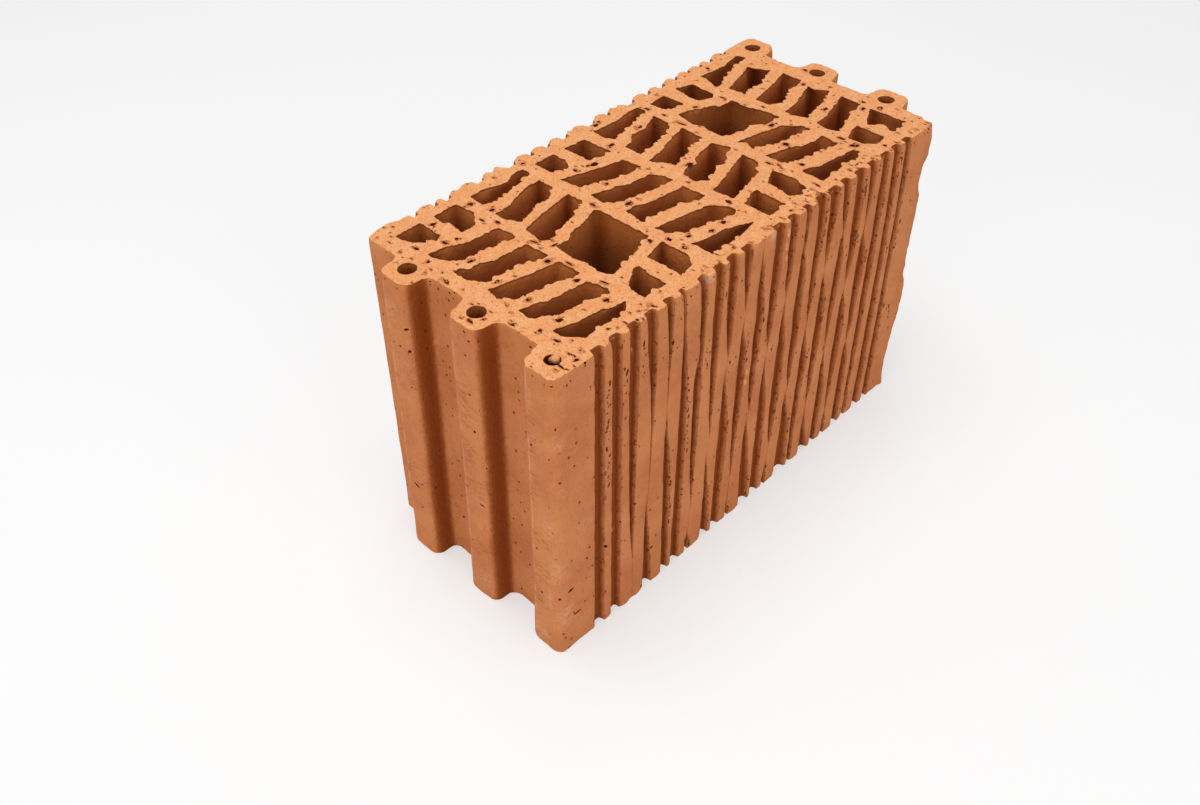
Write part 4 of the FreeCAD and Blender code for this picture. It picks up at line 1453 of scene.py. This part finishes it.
    # Dark specks of burnt grit, in a few cells of a pattern of cells
    spot = paint.node("ShaderNodeMapping", inputs={0: scaled, 3: (1 / 5.2, 1 / 5.2, 1 / 6.5)})
    sockets = {"Vector": spot, "Scale": 1.0}
    kind = {"feature": "F1"}
    middles, lottery = (paint.node("ShaderNodeTexVoronoi", kind, sockets, output) for output in (0, 1))
    chosen = paint.node("ShaderNodeSeparateColor", inputs={0: lottery})
    speck = (1 - step(middles, 0.07, 0.16)) * step(chosen, 0.55, 0.6)
    # The choked core is painted black inside as shade
    colour = mix(cut, layered(skin, (well, walls), (choked, GRIT_AND_SHADE_BLACK)), face)
    # Dark specks of burnt grit, and the pits painted dark inside as shade
    colour = layered(colour, (speck * (1 - well) * 0.85, GRIT_AND_SHADE_BLACK), (pit, GRIT_AND_SHADE_BLACK))

    height = grain * (0.8 + cut * 0.9) + blotches * 0.4 + streaks * (1 - cut) * 0.5
    height = height + tears * (1.2 + cut * 0.3) + waves * (0.25 + ripple * 1.1) - speck * 1.4
    bump = paint.node("ShaderNodeBump", inputs={"Strength": 0.7, "Distance": 0.0011, "Height": height})
    shine = 0.78 + blotches * 0.12 + cut * 0.06
    sockets = {"Base Color": colour, "Roughness": shine, "Normal": bump, "Specular IOR Level": 0.18}
    return paint.finish(paint.node("ShaderNodeBsdfPrincipled", inputs=sockets))


WHITE = (1.0, 1.0, 1.0, 1.0)
FLOOR_WHITE = (0.93, 0.93, 0.93, 1.0)
FLOOR_GLOW = 0.5
FLOOR_REACH = 6.0
WORLD_LIGHT = 0.42
WORLD_SEEN = 0.93

# Soft square lamps: place in metres, side in metres and watts
LAMPS = {
    "overhead": ((-0.2, 0.1, 1.7), 1.1, 16.0),
    "front": ((-0.3, -1.6, 0.7), 1.0, 5.5),
    "side": ((-1.7, -0.2, 0.7), 1.0, 5.5),
}
LAMPS_AIM = Vector((0.0, 0.0, 0.1))


def pale_ground():
    """A white floor that keeps a soft shadow."""
    paint = Paint(bpy.data.materials.new("pale_ground"))
    diffuse = paint.node("ShaderNodeBsdfDiffuse", inputs={"Color": FLOOR_WHITE})
    glow = paint.node("ShaderNodeEmission", inputs={"Color": WHITE})
    share = paint.directly_seen() * FLOOR_GLOW
    return paint.finish(paint.node("ShaderNodeMixShader", inputs={0: share, 1: diffuse, 2: glow}))


def make_floor():
    """The floor that the block stands on."""
    mesh = bpy.data.meshes.new("floor")
    corners = [(x * FLOOR_REACH, y * FLOOR_REACH, 0.0) for x, y in ((-1, -1), (1, -1), (1, 1), (-1, 1))]
    mesh.from_pydata(corners, [], [(0, 1, 2, 3)])
    mesh.materials.append(pale_ground())
    floor = new_object("floor", mesh)
    floor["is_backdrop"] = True


def light_scene():
    """A plain bright surround, and soft lamps that face the block."""
    world = bpy.data.worlds.new("studio")
    paint = Paint(world)
    light = paint.node("ShaderNodeBackground", inputs={"Color": WHITE, "Strength": WORLD_LIGHT})
    seen = paint.node("ShaderNodeBackground", inputs={"Color": WHITE, "Strength": WORLD_SEEN})
    share = paint.directly_seen()
    mixed = paint.node("ShaderNodeMixShader", inputs={0: share, 1: light, 2: seen})
    bpy.context.scene.world = paint.finish(mixed, "World")
    for name, (place, side, watts) in LAMPS.items():
        lamp = bpy.data.lights.new(name, "AREA")
        lamp.shape = "SQUARE"
        lamp.size = side
        lamp.energy = watts
        holder = new_object(name, lamp)
        holder.location = place
        holder.rotation_euler = (LAMPS_AIM - Vector(place)).to_track_quat("-Z", "Y").to_euler()


CAMERA_PLACE = (-0.40073, -0.32866, 0.50503)
CAMERA_HEADING = 43.366
CAMERA_PITCH = 42.43
CAMERA_LENS = 34.81
CAMERA_SENSOR = 36.0


def place_camera():
    """The camera where the photograph was taken from."""
    camera = bpy.data.cameras.new("camera")
    camera.lens = CAMERA_LENS
    camera.sensor_width = CAMERA_SENSOR
    holder = new_object("camera", camera)
    holder.location = CAMERA_PLACE
    turn = (90.0 - CAMERA_PITCH, 0.0, CAMERA_HEADING - 90.0)
    holder.rotation_euler = [math.radians(angle) for angle in turn]
    bpy.context.scene.camera = holder


clay_material = fired_clay()
block = make_block(clay_material)
pieces = [block, make_lumps(clay_material), make_crumbs(block, clay_material)]
for piece in pieces:
    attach(piece, "root")
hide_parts("clay_block")
make_floor()
light_scene()
place_camera()
bpy.context.scene.view_settings.view_transform = "Standard"

boxes = {"cad": CAD_BOX, "visual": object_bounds()}
sizes = {name: [list(corner) for corner in box] for name, box in boxes.items()}
